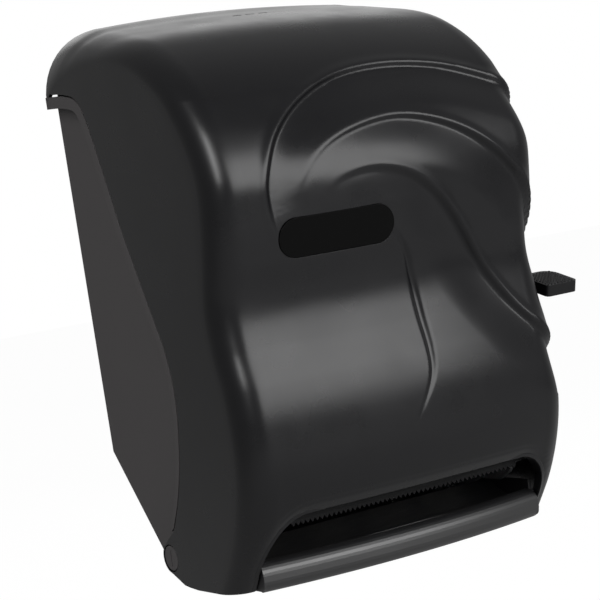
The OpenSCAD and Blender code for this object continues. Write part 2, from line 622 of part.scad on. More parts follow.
// Section of the front bar: a hook-shaped wall, round over the top and open towards the back
bar_wall = 2.6;
bar_crest_r = 9.5;
bar_foot_r = 9;
function bar_side(t) = concat([[-21, 18.4 - t]],
    arc([-bar_crest_r, 11.5], bar_crest_r - t, 118, 0, 9),
    arc([-bar_foot_r, 8], bar_foot_r - t, -5, -82, 6), [[-19, t]]);
bar_back = bar_side(bar_wall);
bar_profile = concat(bar_side(0), [for (i = [len(bar_back) - 1:-1:0]) bar_back[i]]);
module paper_chute() {
    color([0.08, 0.08, 0.09]) placed() difference() {
        union() {
            side_plate(-chute_x, 2 * chute_x) chute_section();
            translate([0, bar_r - bar_front, 0]) rotate([0, 0, 270 - bar_angle])
                rotate_extrude(angle = 2 * bar_angle, $fn = 360) translate([bar_r, 0]) polygon(bar_profile);
            // cheeks that close the chute's ends under the frames
            both_sides() side_plate(chute_x - 2.5, 2.5)
                polygon([[-100, floor_z], [-128, floor_z + 4], [-178, floor_z + 4], [-178, 12], [-150, 14],
                    [-125, floor_z - 2]]);
        }
        screw_down_holes(floor_z - 5, floor_z + 5);
    }
}

// ---------- feed module ----------
frame_x = 109;
frame_t = 3;
drive = [-drive_y, drive_z];
nip_angle = -35;
pinch_dist = drive_r + pinch_r + nip_gap;
pinch = drive + pinch_dist * [cos(nip_angle), sin(nip_angle)];
pinch_pivot = pinch + [28, 4];
centre_dist = tooth_m * (sector_teeth + pinion_teeth) / 2;
mesh_angle = 207.5;
stud = drive - centre_dist * [cos(mesh_angle), sin(mesh_angle)];
bearing_r = drive_shaft_r + 2.5;

// Screws that hold the feed module's feet and the chute down on the housing's lip
screw_r = 1.9;
foot_x = frame_x - 8;
foot_y = -83;
chute_screw_x = 60;
module screw_down(x, z) {
    translate([x, foot_y, lip_z - 3.6]) cylinder(r = screw_r, h = z - lip_z + 3.65, $fn = 32);
    translate([x, foot_y, z]) difference() {
        cylinder(r = 3.6, h = 2, $fn = 32);
        translate([-3, -0.4, 1.2]) cube([6, 0.8, 1]);
    }
}
module screw_down_holes(z0, z1) {
    for (x = [-foot_x, -chute_screw_x, chute_screw_x, foot_x])
        translate([x, foot_y, z0]) cylinder(r = screw_r + 0.1, h = z1 - z0, $fn = 32);
}
frame_front = -192;
tab_low = 47;
function frame_outline() = [[-65, floor_z + 0.05], [-65, 42], [stud[0] + 15, stud[1] - 8],
    [stud[0] + 15, stud[1] + 14], [stud[0] - 12, stud[1] + 20], [drive[0] - 4, drive[1] + 27],
    [frame_front + 5, 72], [frame_front, 60], [frame_front, tab_low], [frame_front + 12, tab_low - 3],
    [-172, 36], [-160, 30], [-136, floor_z + 6], [-118, floor_z + 0.05]];
module frame_plate(x) {
    side_plate(x, frame_t) difference() {
        polygon(frame_outline());
        translate([-120, 70]) circle(r = 8, $fn = 32);
        translate([-168, 75]) circle(r = 4, $fn = 32);
        translate([-78, 62]) circle(r = 6, $fn = 32);
    }
}
module frame_foot(x, w) {
    translate([x, foot_y - 9, floor_z + 0.05]) cube([w, 18, 3]);
}
module frame_side(right) {
    difference() {
        union() {
            frame_plate(frame_x);
            frame_foot(frame_x - 13, 14);
            // tab that carries the tear bar
            side_plate(frame_x - 8, 9) polygon([[frame_front, tab_low], [frame_front, blade_top],
                [frame_front + 6, blade_top + 2], [frame_front + 8, tab_low]]);
            bar_x(frame_x - 1, frame_x + frame_t + 1, drive[0], drive[1], bearing_r + 3);
            if (right) bar_x(frame_x, frame_x + frame_t + 1, stud[0], stud[1], 10);
        }
        bar_x(frame_x - 3, frame_x + frame_t + 3, drive[0], drive[1], bearing_r + 0.02);
        bar_x(frame_x - 3, frame_x + frame_t + 3, pinch_pivot[0], pinch_pivot[1], 3.02);
        if (right) bar_x(frame_x - 3, frame_x + frame_t + 3, stud[0], stud[1], stud_r + 0.02);
        tear_screw_hole(frame_front + 12, 15);
        translate([foot_x, foot_y, floor_z - 1]) cylinder(r = screw_r + 0.1, h = 6, $fn = 32);
    }
}
module right_frame() { color([0.55, 0.56, 0.58]) placed() frame_side(true); }
module left_frame() { color([0.55, 0.56, 0.58]) placed() mirror([1, 0, 0]) frame_side(false); }
module frame_tie_plate() {
    // bent plate over the drive roller that ties the frames and guides the paper
    color([0.48, 0.49, 0.51]) placed() difference() {
        side_plate(-frame_x, 2 * frame_x) polygon(concat(
            arc(drive, drive_r + 5, 35, 150, 10), arc(drive, drive_r + 3, 150, 35, 10)));
        for (x = [-75:50:75]) translate([x - 10, drive[0] - 6, drive[1] + 5]) cube([20, 8, 30]);
    }
}
module frame_screws() {
    color("silver") placed() both_sides() {
        screw_down(foot_x, floor_z + 3.1);
        screw_down(chute_screw_x, floor_z + 0.05);
    }
}

// Serrated blade just behind the upper edge of the slot
tear_screw_x = frame_x - 3.5;
tear_screw_z = 53;
tear_screw_r = 1.5;
tear_l = 202;
tear_pitch = 4;
blade_t = 1.2;
blade_y = frame_front - 0.1;
blade_top = 58;
tooth_root = 45;
tooth_tip = 42.4;
module tear_screw_hole(y, l) {
    translate([tear_screw_x, y, tear_screw_z]) rotate([90, 0, 0])
        cylinder(r = tear_screw_r + 0.1, h = l, $fn = 32);
}
module tear_bar() {
    half = tear_l / 2;
    n = floor(tear_l / tear_pitch);
    step = tear_l / n;
    teeth = [for (i = [0:n])
        each [[i * step - half, tooth_root], if (i < n) [(i + 0.5) * step - half, tooth_tip]]];
    color("silver") placed() difference() {
        union() {
            front_plate(blade_y, blade_t) polygon(concat(teeth, [[half, blade_top], [-half, blade_top]]));
            // ears that lie on the frames' tabs
            both_sides() translate([half - 1, blade_y - blade_t, tab_low])
                cube([10, blade_t, blade_top - tab_low]);
        }
        both_sides() tear_screw_hole(frame_front + 2, 5);
    }
}
module tear_bar_screws() {
    color("gray") placed() both_sides()
        translate([tear_screw_x, blade_y - blade_t - 0.05, tear_screw_z]) rotate([90, 0, 0]) {
            translate([0, 0, -6]) cylinder(r = tear_screw_r, h = 6.1, $fn = 32);
            cylinder(r = tear_screw_r + 1.3, h = 1.2, $fn = 32);
        }
}

shaft_end = frame_x + frame_t + 14;
module drive_shaft() {
    color("silver") placed() bar_x(-frame_x - frame_t - 1.5, shaft_end, drive[0], drive[1], drive_shaft_r);
}
module drive_core() {
    color([0.15, 0.15, 0.16]) placed()
        ring_x(-frame_x + 4, frame_x - 4, drive[0], drive[1], drive_r - 4, drive_shaft_r);
}
sleeve_l = 34;
sleeve_at = [-81, -27, 27, 81];
module drive_sleeves() {
    color([0.30, 0.30, 0.30]) placed() for (x = sleeve_at)
        ring_x(x - sleeve_l / 2, x + sleeve_l / 2, drive[0], drive[1], drive_r, drive_r - 4);
}
module drive_bearings() {
    color("white") placed() both_sides()
        ring_x(frame_x - 1, frame_x + frame_t + 1, drive[0], drive[1], bearing_r, drive_shaft_r + run_fit);
}

// ---------- gears: straight teeth with involute flanks ----------
pressure = 25;
backlash = 0.12;
function involute(rb, r) = r <= rb ? 0 : let (a = acos(rb / r)) (tan(a) * 180 / PI - a);
// One tooth of z teeth, centred on angle c, between root radius rf and tip radius ra
function tooth(z, c, rf, ra, n = 5) = let (rp = tooth_m * z / 2, rb = rp * cos(pressure),
    half = 90 / z - backlash * 90 / (PI * rp), r0 = max(rf, rb),
    flank = concat([[rf, half + involute(rb, rp) - (rf < rb ? 0 : involute(rb, rf))]],
        [for (i = [0:n]) let (r = lerp(r0, ra, i / n)) [r, half + involute(rb, rp) - involute(rb, r)]]))
    concat([for (p = flank) [p[0] * cos(c - p[1]), p[0] * sin(c - p[1])]],
        [for (i = [len(flank) - 1:-1:0]) let (p = flank[i]) [p[0] * cos(c + p[1]), p[0] * sin(c + p[1])]]);
gear_x = frame_x + frame_t + 5;
tip_add = 0.9 * tooth_m;
root_ded = 1.2 * tooth_m;
module clutch_pinion() {
    z = pinion_teeth;
    rp = tooth_m * z / 2;
    // a tooth space of the pinion faces the stud
    first = mesh_angle + 180 + 180 / z;
    color([0.85, 0.82, 0.72]) placed() difference() {
        union() {
            side_plate(gear_x, gear_w) translate(drive) polygon([for (i = [0:z - 1])
                each tooth(z, first + 360 * i / z, rp - root_ded, rp + tip_add)]);
            // one-way clutch drum beside the teeth
            bar_x(gear_x - 3.6, gear_x + 0.5, drive[0], drive[1], rp - root_ded);
        }
        bar_x(gear_x - 5, gear_x + gear_w + 1, drive[0], drive[1], drive_shaft_r);
    }
}

function from_stud(r, a) = stud + r * [cos(a), sin(a)];
neck_angle = 57;
sector_from = mesh_angle - lever_travel - 14;
sector_to = mesh_angle + 14;
sector_rp = tooth_m * sector_teeth / 2;
sector_boss_r = 12;
pitch_angle = 360 / sector_teeth;
// Teeth on both sides of the one that stands on the line of centres at rest
sector_below = floor((mesh_angle - sector_from) / pitch_angle);
sector_above = floor((sector_to - mesh_angle) / pitch_angle);
sector_first = mesh_angle - sector_below * pitch_angle;
sector_last = mesh_angle + sector_above * pitch_angle;
sector_screw_r = 1.9;
sector_screw_at = [from_stud(30, sector_first + 8), from_stud(30, sector_last - 8)];
module gear_sector() {
    color([0.85, 0.82, 0.72]) placed() difference() {
        side_plate(gear_x, gear_w) translate(stud) polygon(concat(
            [sector_boss_r * [cos(sector_first - 40), sin(sector_first - 40)]],
            [for (i = [0:sector_below + sector_above]) each tooth(sector_teeth,
                sector_first + i * pitch_angle, sector_rp - root_ded, sector_rp + tip_add)],
            arc([0, 0], sector_boss_r, sector_last + 40, sector_first + 300, 12)));
        bar_x(gear_x - 1, gear_x + gear_w + 1, stud[0], stud[1], stud_r + 1.5);
        for (p = sector_screw_at) bar_x(gear_x - 1, gear_x + gear_w + 1, p[0], p[1], sector_screw_r + 0.1);
    }
}
arm_x = gear_x + gear_w;
arm_w = 3.6;
module sector_screws() {
    color("gray") placed() for (p = sector_screw_at)
        bar_x(gear_x, arm_x + arm_w - 1, p[0], p[1], sector_screw_r);
}

// ---------- lever ----------
neck = from_stud(neck_r, neck_angle);
paddle_front = [-191, 171];
paddle_in = half_w + 17;
outer_x = half_w + 3;
outer_t = 6;
paddle_root = [-160, 174];
function slab(a, b, wa, wb) = let (d = (b - a) / norm(b - a), n = [-d[1], d[0]])
    [a + n * wa / 2, b + n * wb / 2, b - n * wb / 2, a - n * wa / 2];
module paddle_plan(shrink) {
    // front-inner corner at the origin, outwards to the right, backwards up
    w = paddle_w - 2 * shrink;
    l = paddle_l - 2 * shrink;
    translate([shrink, shrink]) polygon(concat(arc([3, 3], 3, 180, 270, 4), arc([w - 4, 4], 4, 270, 360, 4),
        arc([w - 11, l - 11], 11, 0, 90, 6), [[-shrink - 9.5, l], [-shrink - 9.5, l - 15], [0, l - 17]]));
}
module lever() {
    color([0.05, 0.05, 0.05]) placed() difference() {
        union() {
            // hub, arm inside the housing and the leaf that the gear is screwed to
            bar_x(frame_x + frame_t + 1.6, arm_x + arm_w, stud[0], stud[1], stud_r + 1.45);
            side_plate(arm_x, arm_w) {
                translate(stud) circle(r = 14, $fn = fn_round);
                polygon(slab(stud, neck, 22, 2 * neck_half));
                translate(neck) circle(r = neck_half, $fn = fn_round);
                // leaf behind the gear
                polygon(concat([stud], arc(stud, 36, sector_from + 8, sector_to - 6, 6)));
            }
            // ear for the return spring
            side_plate(arm_x, arm_w) polygon(slab(stud, from_stud(31, 0), 14, 8));
            // neck through the slot, then the arm outside
            bar_x(arm_x, outer_x + outer_t, neck[0], neck[1], neck_half);
            side_plate(outer_x, outer_t) {
                polygon(slab(neck, paddle_root, 16, 15));
                translate(paddle_root) circle(r = 7.5, $fn = fn_round);
            }
            translate([paddle_in, paddle_front[0], paddle_front[1]]) rotate([paddle_tilt, 0, 0])
                translate([0, 0, -paddle_t]) difference() {
                    linear_extrude(paddle_t) paddle_plan(0);
                    translate([0, 0, -2]) linear_extrude(paddle_t - 1) intersection() {
                        paddle_plan(2.5);
                        translate([2.5, 0]) square([60, 60]);
                    }
                }
        }
        bar_x(frame_x, arm_x + arm_w + 1, stud[0], stud[1], stud_r + run_fit);
        for (p = sector_screw_at) bar_x(arm_x - 1, arm_x + arm_w + 1, p[0], p[1], sector_screw_r + 0.1);
        bar_x(arm_x - 1, arm_x + arm_w + 1, stud[0] + 27, stud[1], 1.6);
    }
}
module lever_stud() {
    color("silver") placed() {
        bar_x(frame_x, arm_x + arm_w + 0.35, stud[0], stud[1], stud_r);
        bar_x(frame_x - 1.5, frame_x, stud[0], stud[1], stud_r + 2.5);
    }
}
module stud_screw() {
    color("gray") placed() difference() {
        bar_x(arm_x + arm_w + 0.35, arm_x + arm_w + 1.05, stud[0], stud[1], stud_r + 2);
        translate([arm_x + arm_w + 0.7, stud[0] - 0.4, stud[1] - 4]) cube([1, 0.8, 8]);
    }
}
module lever_bumper() {
    // rubber block that the arm rests against, on the inside of the housing's side wall
    color([0.2, 0.2, 0.2]) placed() side_plate(arm_x + 0.3, inner_x - arm_x - 0.3) translate(stud)
        rotate(neck_angle) translate([38, -14.6]) square([12, 5]);
}
spring_y = stud[0] + 27;
post_z = 36;
module spring_post() {
    color("silver") placed() bar_x(frame_x + frame_t, arm_x + 0.5, spring_y, post_z, 2);
}
lever_turns = 12;
module lever_spring() {
    x = frame_x + frame_t + 7;
    r = 3.6;
    wire_r = 0.5;
    h = 34;
    z0 = (post_z + stud[1]) / 2 - h / 2;
    gap = coil_gap(h, lever_turns, wire_r);
    echo(lever_spring_gap = gap);
    c = coil([x, spring_y, z0], r, h, lever_turns, 1);
    color("silver") placed() wire(concat([[x, spring_y, post_z + 2.6], [x, spring_y, z0 - 3]],
        [for (i = [1:len(c) - 2]) c[i]], [[x, spring_y, z0 + h + 3], [x, spring_y, stud[1] - 2]]), wire_r);
}

// ---------- pinch roller ----------
pinch_arm_x = frame_x - 5;
pinch_arm_t = 3;
pinch_end = pinch_arm_x + pinch_arm_t + 0.4;
module pinch_shaft() {
    color("silver") placed() bar_x(-pinch_end, pinch_end, pinch[0], pinch[1], pinch_shaft_r);
}
module pinch_sleeves() {
    color([0.85, 0.85, 0.85]) placed() for (x = sleeve_at)
        ring_x(x - sleeve_l / 2, x + sleeve_l / 2, pinch[0], pinch[1], pinch_r, pinch_shaft_r);
}
pinch_foot = [-114, 37];
module pinch_frame() {
    color([0.25, 0.25, 0.26]) placed() difference() {
        union() {
            both_sides() side_plate(pinch_arm_x, pinch_arm_t) {
                polygon(slab(pinch_pivot, pinch, 12, 12));
                translate(pinch_pivot) circle(r = 6, $fn = fn_round);
                translate(pinch) circle(r = 6, $fn = fn_round);
                polygon([pinch_pivot + [-2, 0], pinch + [2, 0], pinch_foot + [-8, 1], pinch_foot + [6, 1]]);
            }
            // cross plate under the roller, with a pad on each spring
            side_plate(-pinch_arm_x - 1, 2 * pinch_arm_x + 2)
                polygon(slab(pinch_foot + [6, 3.2], pinch_foot + [-8, 0.5], 2, 2));
            both_sides() translate([pinch_arm_x - 14, pinch_foot[0] - 4, pinch_foot[1]]) cube([15, 8, 2]);
        }
        bar_x(-frame_x, frame_x, pinch[0], pinch[1], pinch_shaft_r + run_fit);
        bar_x(-frame_x, frame_x, pinch_pivot[0], pinch_pivot[1], 3 + run_fit);
    }
}
module pinch_pivot_rod() {
    color("silver") placed()
        bar_x(-frame_x - frame_t - 1, frame_x + frame_t + 1, pinch_pivot[0], pinch_pivot[1], 3);
}
pinch_turns = 4;
module pinch_springs() {
    wire_r = 0.4;
    z0 = floor_z + 0.05 + wire_r;
    h = pinch_foot[1] - 0.05 - wire_r - z0;
    gap = coil_gap(h, pinch_turns, wire_r);
    echo(pinch_spring_gap = gap);
    color("silver") placed() both_sides()
        wire(coil([pinch_arm_x - 7, pinch_foot[0], z0], 3.2, h, pinch_turns, 0.8), wire_r);
}

// ---------- roll arms ----------
arm_in = 104;
arm_ear_gap = 0.3;
plug_l = 13;
module arm_side() {
    z0 = arm_ear_z[0] + arm_ear_t + arm_ear_gap;
    z1 = arm_ear_z[1] - arm_ear_gap;
    difference() {
        union() {
            side_plate(arm_in, arm_t) difference() {
                union() {
                    polygon([[arm_pivot_y + 4, z0], [arm_pivot_y + 4, z1], [arm_pivot_y - 6, z1], [-40, z1 + 2],
                        [-roll_y, roll_z + 20], [-roll_y, roll_z - 20], [-40, z0 - 2], [arm_pivot_y - 6, z0]]);
                    translate(roll_axis) circle(r = 20, $fn = fn_round);
                }
                translate([-38, roll_z]) circle(r = 11, $fn = 32);
                translate([-68, roll_z]) circle(r = 11, $fn = 32);
            }
            translate([arm_pivot_x, arm_pivot_y, z0]) cylinder(r = 5, h = z1 - z0, $fn = fn_round);
            translate([arm_in, arm_pivot_y - 4, z0]) cube([6, 8, z1 - z0]);
            // stiffening rib and the stud that the plug turns on
            translate([arm_in + arm_t - 0.5, -roll_y + 19, roll_z - 1.5]) cube([2.5, roll_y - 38, 3]);
            bar_x(arm_in - 2 - plug_l, arm_in + arm_t + 1, -roll_y, roll_z, 6);
        }
        translate([arm_pivot_x, arm_pivot_y, z0 - 1])
            cylinder(r = arm_pin_r + run_fit, h = z1 - z0 + 2, $fn = fn_round);
    }
}
module right_roll_arm() { color([0.80, 0.65, 0.12]) placed() arm_side(); }
module left_roll_arm() { color([0.80, 0.65, 0.12]) placed() mirror([1, 0, 0]) arm_side(); }
module hub_side() {
    difference() {
        union() {
            bar_x(arm_in - 1.9, arm_in - 0.1, -roll_y, roll_z, 25);
            translate([arm_in - 1.5, -roll_y, roll_z]) rotate([0, -90, 0])
                cylinder(r1 = plug_r, r2 = plug_r - 2, h = plug_l - 1, $fn = fn_round);
            for (a = [0:60:300]) translate([arm_in - 12, -roll_y, roll_z]) rotate([a, 0, 0])
                translate([0, -1, 0]) cube([11, 2, plug_r + 0.5]);
        }
        bar_x(arm_in - 20, arm_in + 1, -roll_y, roll_z, 6 + run_fit);
    }
}
module right_roll_hub() { color([0.88, 0.88, 0.86]) placed() hub_side(); }
module left_roll_hub() { color([0.88, 0.88, 0.86]) placed() mirror([1, 0, 0]) hub_side(); }
module arm_pins() {
    color("silver") placed() both_sides() translate([arm_pivot_x, arm_pivot_y, arm_ear_z[0] - 1.5]) {
        cylinder(r = arm_pin_r, h = arm_ear_z[1] - arm_ear_z[0] + arm_ear_t + 2.5, $fn = fn_round);
        cylinder(r = 4, h = 1.5, $fn = fn_round);
    }
}

// ---------- cradle for the stub roll ----------
cradle_w = 208;
cradle_t = 2.5;
slope_a = [-housing_wall, kink_z + 4];
slope_b = [-63.5, lip_z];
slope_d = (slope_b - slope_a) / norm(slope_b - slope_a);
slope_n = [slope_d[1], -slope_d[0]];
cradle_foot_at = 40;
cradle_screw_x = 70;
function on_slope(s, up) = slope_a + s * slope_d + up * slope_n;
module on_cradle_screws() {
    foot = on_slope(cradle_foot_at, 0);
    for (x = [-cradle_screw_x, cradle_screw_x]) translate([x, foot[0], foot[1]])
        rotate([atan2(-slope_n[0], slope_n[1]), 0, 0]) children();
}
module cradle_screw_holes() {
    on_cradle_screws() translate([0, 0, -8]) cylinder(r = screw_r + 0.1, h = 16, $fn = 32);
}
module stub_roll_cradle() {
    color([0.35, 0.36, 0.38]) placed() difference() {
        union() {
            translate([-cradle_w / 2, cradle[0], cradle[1]]) rotate([90, 0, 90])
                rotate([0, 0, 250]) rotate_extrude(angle = 85, $fn = 128)
                    translate([cradle_r, 0]) square([cradle_t, cradle_w]);
            // foot along the slope and the webs between it and the trough
            side_plate(-cradle_w / 2, cradle_w) polygon([on_slope(30, 0.05), on_slope(50, 0.05),
                on_slope(50, 2.5), on_slope(30, 2.5)]);
            for (x = [-cradle_w / 2, -40, 37, cradle_w / 2 - 3]) side_plate(x, 3)
                polygon(concat([on_slope(31, 2), on_slope(49, 2)], arc(cradle, cradle_r + 1, 278, 322, 6)));
        }
        cradle_screw_holes();
    }
}
module cradle_screws() {
    color("silver") placed() on_cradle_screws() {
        translate([0, 0, -3.2]) cylinder(r = screw_r, h = 5.8, $fn = 32);
        translate([0, 0, 2.55]) cylinder(r = 3.6, h = 2, $fn = 32);
    }
}

back_housing();
front_cover();
badge_plate();
hinge_bushes();
hinge_pins();
lock_strike();
latch_slide();
latch_guide_posts();
latch_spring();
paper_chute();
left_frame();
right_frame();
frame_tie_plate();
frame_screws();
tear_bar();
tear_bar_screws();
drive_shaft();
drive_core();
drive_sleeves();
drive_bearings();
clutch_pinion();
pinch_shaft();
pinch_sleeves();
pinch_frame();
pinch_pivot_rod();
pinch_springs();
lever();
gear_sector();
sector_screws();
lever_stud();
stud_screw();
lever_bumper();
lever_spring();
spring_post();
left_roll_arm();
right_roll_arm();
left_roll_hub();
right_roll_hub();
arm_pins();
stub_roll_cradle();
cradle_screws();
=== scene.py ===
"""Looks of the wall-mounted lever paper towel dispenser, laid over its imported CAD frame.

The CAD nodes keep their meshes and get their finishes here. The wave cover alone takes the place of its
node, with the same shell on a finer mesh. The lever's grip and the front bar's end plates are added.
"""

import json
import logging
import math
from dataclasses import dataclass
from enum import Enum
from typing import Dict, List, Sequence, Tuple, Union

import bmesh
import bpy
import numpy as np
from mathutils import Matrix, Vector


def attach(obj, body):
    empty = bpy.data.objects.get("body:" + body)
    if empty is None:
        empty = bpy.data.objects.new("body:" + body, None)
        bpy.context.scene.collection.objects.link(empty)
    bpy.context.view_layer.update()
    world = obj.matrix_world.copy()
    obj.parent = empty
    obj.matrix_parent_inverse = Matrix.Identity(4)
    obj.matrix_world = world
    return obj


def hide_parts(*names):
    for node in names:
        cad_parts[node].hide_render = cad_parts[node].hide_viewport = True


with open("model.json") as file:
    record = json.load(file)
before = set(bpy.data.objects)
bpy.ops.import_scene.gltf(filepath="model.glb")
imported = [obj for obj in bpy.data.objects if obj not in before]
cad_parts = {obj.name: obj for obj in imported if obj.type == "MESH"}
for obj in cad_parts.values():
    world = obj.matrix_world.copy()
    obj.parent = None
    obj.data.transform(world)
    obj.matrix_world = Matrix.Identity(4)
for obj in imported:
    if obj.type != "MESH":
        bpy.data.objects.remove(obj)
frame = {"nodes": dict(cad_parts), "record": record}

LOG = logging.getLogger("dispenser")
# One bench millimetre, and the height of the wall screws' centre, the frame's origin, on the bench.
MM = 0.001
SCREW_MID_Z = 214.0

Point2 = Tuple[float, float]
Point3 = Tuple[float, float, float]
Colour = Tuple[float, float, float]
Values = Union[float, np.ndarray]
Mesh = Tuple[np.ndarray, List[List[int]]]
Socket = bpy.types.NodeSocket


class Body(str, Enum):
    """Bodies of the frame that visual pieces ride on."""

    HOUSING = "housing"
    COVER = "cover"
    LEVER = "lever"


class Slot(str, Enum):
    """Material slots of the record."""

    COVER = "cover_plastic"
    BADGE = "badge_plastic"
    HOUSING = "housing_plastic"
    BAR = "bar_plastic"
    LEVER = "lever_plastic"
    WHITE = "white_plastic"
    GREY = "grey_plastic"
    YELLOW = "yellow_plastic"
    FRAME = "frame_steel"
    STEEL = "steel"
    RUBBER = "rubber"


# ------------ finishes


class Nodes:
    """A material's node tree with one shader."""

    def __init__(self, name: str) -> None:
        """Starts the material.

        Args:
            name: Name of the material.
        """
        self.material = bpy.data.materials.new(name)
        self.material.use_nodes = True
        self.tree = self.material.node_tree
        self.tree.nodes.clear()
        self.out = self.tree.nodes.new("ShaderNodeOutputMaterial")
        self.shader = self.tree.nodes.new("ShaderNodeBsdfPrincipled")
        self.link(self.shader.outputs["BSDF"], self.out.inputs["Surface"])

    def add(self, kind: str, **values: object) -> bpy.types.Node:
        """Adds a node and sets inputs by their names.

        Args:
            kind: Blender's node type.
            **values: Input names, with spaces written as underscores, and their values.

        Returns:
            The new node.
        """
        node = self.tree.nodes.new(kind)
        for key, value in values.items():
            node.inputs[key.replace("_", " ")].default_value = value
        return node

    def link(self, a: Socket, b: Socket) -> None:
        """Joins two sockets.

        Args:
            a: Output.
            b: Input.
        """
        self.tree.links.new(a, b)

    def noise(self, scale: float, detail: float, rough: float, stretch: Point3 = (1.0, 1.0, 1.0)) -> Socket:
        """Noise on stretched object coordinates.

        Args:
            scale: Cells for each metre.
            detail: Layers of finer noise.
            rough: Weight of the finer layers.
            stretch: Factor on the coordinates of each axis.

        Returns:
            The noise, 0 to 1.
        """
        where = self.add("ShaderNodeTexCoord")
        mapping = self.add("ShaderNodeMapping", Scale=stretch)
        self.link(where.outputs["Object"], mapping.inputs["Vector"])
        texture = self.add("ShaderNodeTexNoise", Scale=scale, Detail=detail, Roughness=rough)
        self.link(mapping.outputs["Vector"], texture.inputs["Vector"])
        return texture.outputs["Fac"]

    def bump(self, height: Socket, strength: float, distance: float, edge: float = 0.0) -> None:
        """Raises the surface by a texture.

        Args:
            height: Noise that raises it.
            strength: Share of the effect.
            distance: Height of the relief in metres.
            edge: Radius that the shading rounds sharp edges with, in metres, or 0 for none.
        """
        bump = self.add("ShaderNodeBump", Strength=strength, Distance=distance)
        self.link(height, bump.inputs["Height"])
        if edge:
            bevel = self.add("ShaderNodeBevel", Radius=edge)
            bevel.samples = 4
            self.link(bevel.outputs["Normal"], bump.inputs["Normal"])
        self.link(bump.outputs["Normal"], self.shader.inputs["Normal"])

    def roughness(self, value: Socket, low: float, high: float) -> None:
        """Drives the roughness between two values.

        Args:
            value: Noise that drives it.
            low: Roughness where the noise is 0.3.
            high: Roughness where the noise is 0.7.
        """
        spread = self.add("ShaderNodeMapRange", From_Min=0.3, From_Max=0.7, To_Min=low, To_Max=high)
        self.link(value, spread.inputs["Value"])
        self.link(spread.outputs["Result"], self.shader.inputs["Roughness"])

    def tint(self, value: Socket, a: Colour, b: Colour) -> None:
        """Drives the base colour between two colours.

        Args:
            value: Socket that mixes them.
            a: Colour at 0.
            b: Colour at 1.
        """
        mixed = self.tree.nodes.new("ShaderNodeMix")
        mixed.data_type = "RGBA"
        mixed.inputs["A"].default_value = (*a, 1.0)
        mixed.inputs["B"].default_value = (*b, 1.0)
        self.link(value, mixed.inputs["Factor"])
        self.link(mixed.outputs["Result"], self.shader.inputs["Base Color"])


@dataclass(frozen=True)
class Finish:
    """A procedural finish.

    Attributes:
        name: Name of the material.
        colour: Base colour, linear.
        rough: Mean roughness.
    """

    name: str
    colour: Colour
    rough: float

    def varied(self, k: float) -> Colour:
        """The base colour times a factor.

        Args:
            k: Factor.

        Returns:
            The new colour.
        """
        return (self.colour[0] * k, self.colour[1] * k, self.colour[2] * k)

    def build(self) -> bpy.types.Material:
        """Builds the material.

        Returns:
            The material.
        """
        raise NotImplementedError


@dataclass(frozen=True)
class MouldedPlastic(Finish):
    """Injection-moulded plastic with a fine spark-eroded grain.

    Attributes:
        grain: Grain cells for each metre.
        depth: Height of the grain, in metres.
        specular: Specular level of the plastic.
        edge: Radius that the shading rounds sharp edges with, in metres.
    """

    grain: float = 2200.0
    depth: float = 0.00002
    specular: float = 0.5
    edge: float = 0.0005

    def build(self) -> bpy.types.Material:
        """Builds grain, mottling and rounded edges.

        Returns:
            The material.
        """
        n = Nodes(self.name)
        n.bump(n.noise(scale=self.grain, detail=2.0, rough=0.6), 0.35, self.depth, self.edge)
        cloud = n.noise(scale=26.0, detail=3.0, rough=0.55)
        n.roughness(cloud, self.rough - 0.03, self.rough + 0.03)
        n.tint(cloud, self.varied(0.9), self.varied(1.1))
        n.shader.inputs["Specular IOR Level"].default_value = self.specular
        return n.material


@dataclass(frozen=True)
class SheetMetal(Finish):
    """Bright or plated steel with drawn lines along one axis, or steel painted near black as painted shade.

    Attributes:
        stretch: Scale of the lines' texture for each axis.
        metallic: 1 for bare or plated steel, 0 for steel painted near black as shade.
        specular: Specular level, which counts where metallic is 0.
    """

    stretch: Point3 = (20.0, 900.0, 900.0)
    metallic: float = 1.0
    specular: float = 0.5

    def build(self) -> bpy.types.Material:
        """Builds drawn lines and clouded plating.

        Returns:
            The material.
        """
        n = Nodes(self.name)
        lines = n.noise(scale=1.0, detail=3.0, rough=0.5, stretch=self.stretch)
        n.bump(lines, 0.25, 0.00002)
        n.roughness(lines, self.rough - 0.08, self.rough + 0.1)
        n.tint(n.noise(scale=60.0, detail=2.0, rough=0.5), self.varied(0.85), self.varied(1.05))
        n.shader.inputs["Metallic"].default_value = self.metallic
        n.shader.inputs["Specular IOR Level"].default_value = self.specular
        return n.material


@dataclass(frozen=True)
class Rubber(Finish):
    """Matt rubber with fine ground lines round the roller.

    Attributes:
        specular: Specular level of the rubber.
    """

    specular: float = 0.3

    def build(self) -> bpy.types.Material:
        """Builds the ground surface.

        Returns:
            The material.
        """
        n = Nodes(self.name)
        n.bump(n.noise(scale=1.0, detail=2.0, rough=0.6, stretch=(2500.0, 60.0, 60.0)), 0.5, 0.00005)
        dust = n.noise(scale=300.0, detail=4.0, rough=0.7)
        n.roughness(dust, self.rough - 0.05, self.rough + 0.1)
        n.tint(dust, self.varied(0.8), self.varied(1.4))
        n.shader.inputs["Specular IOR Level"].default_value = self.specular
        return n.material


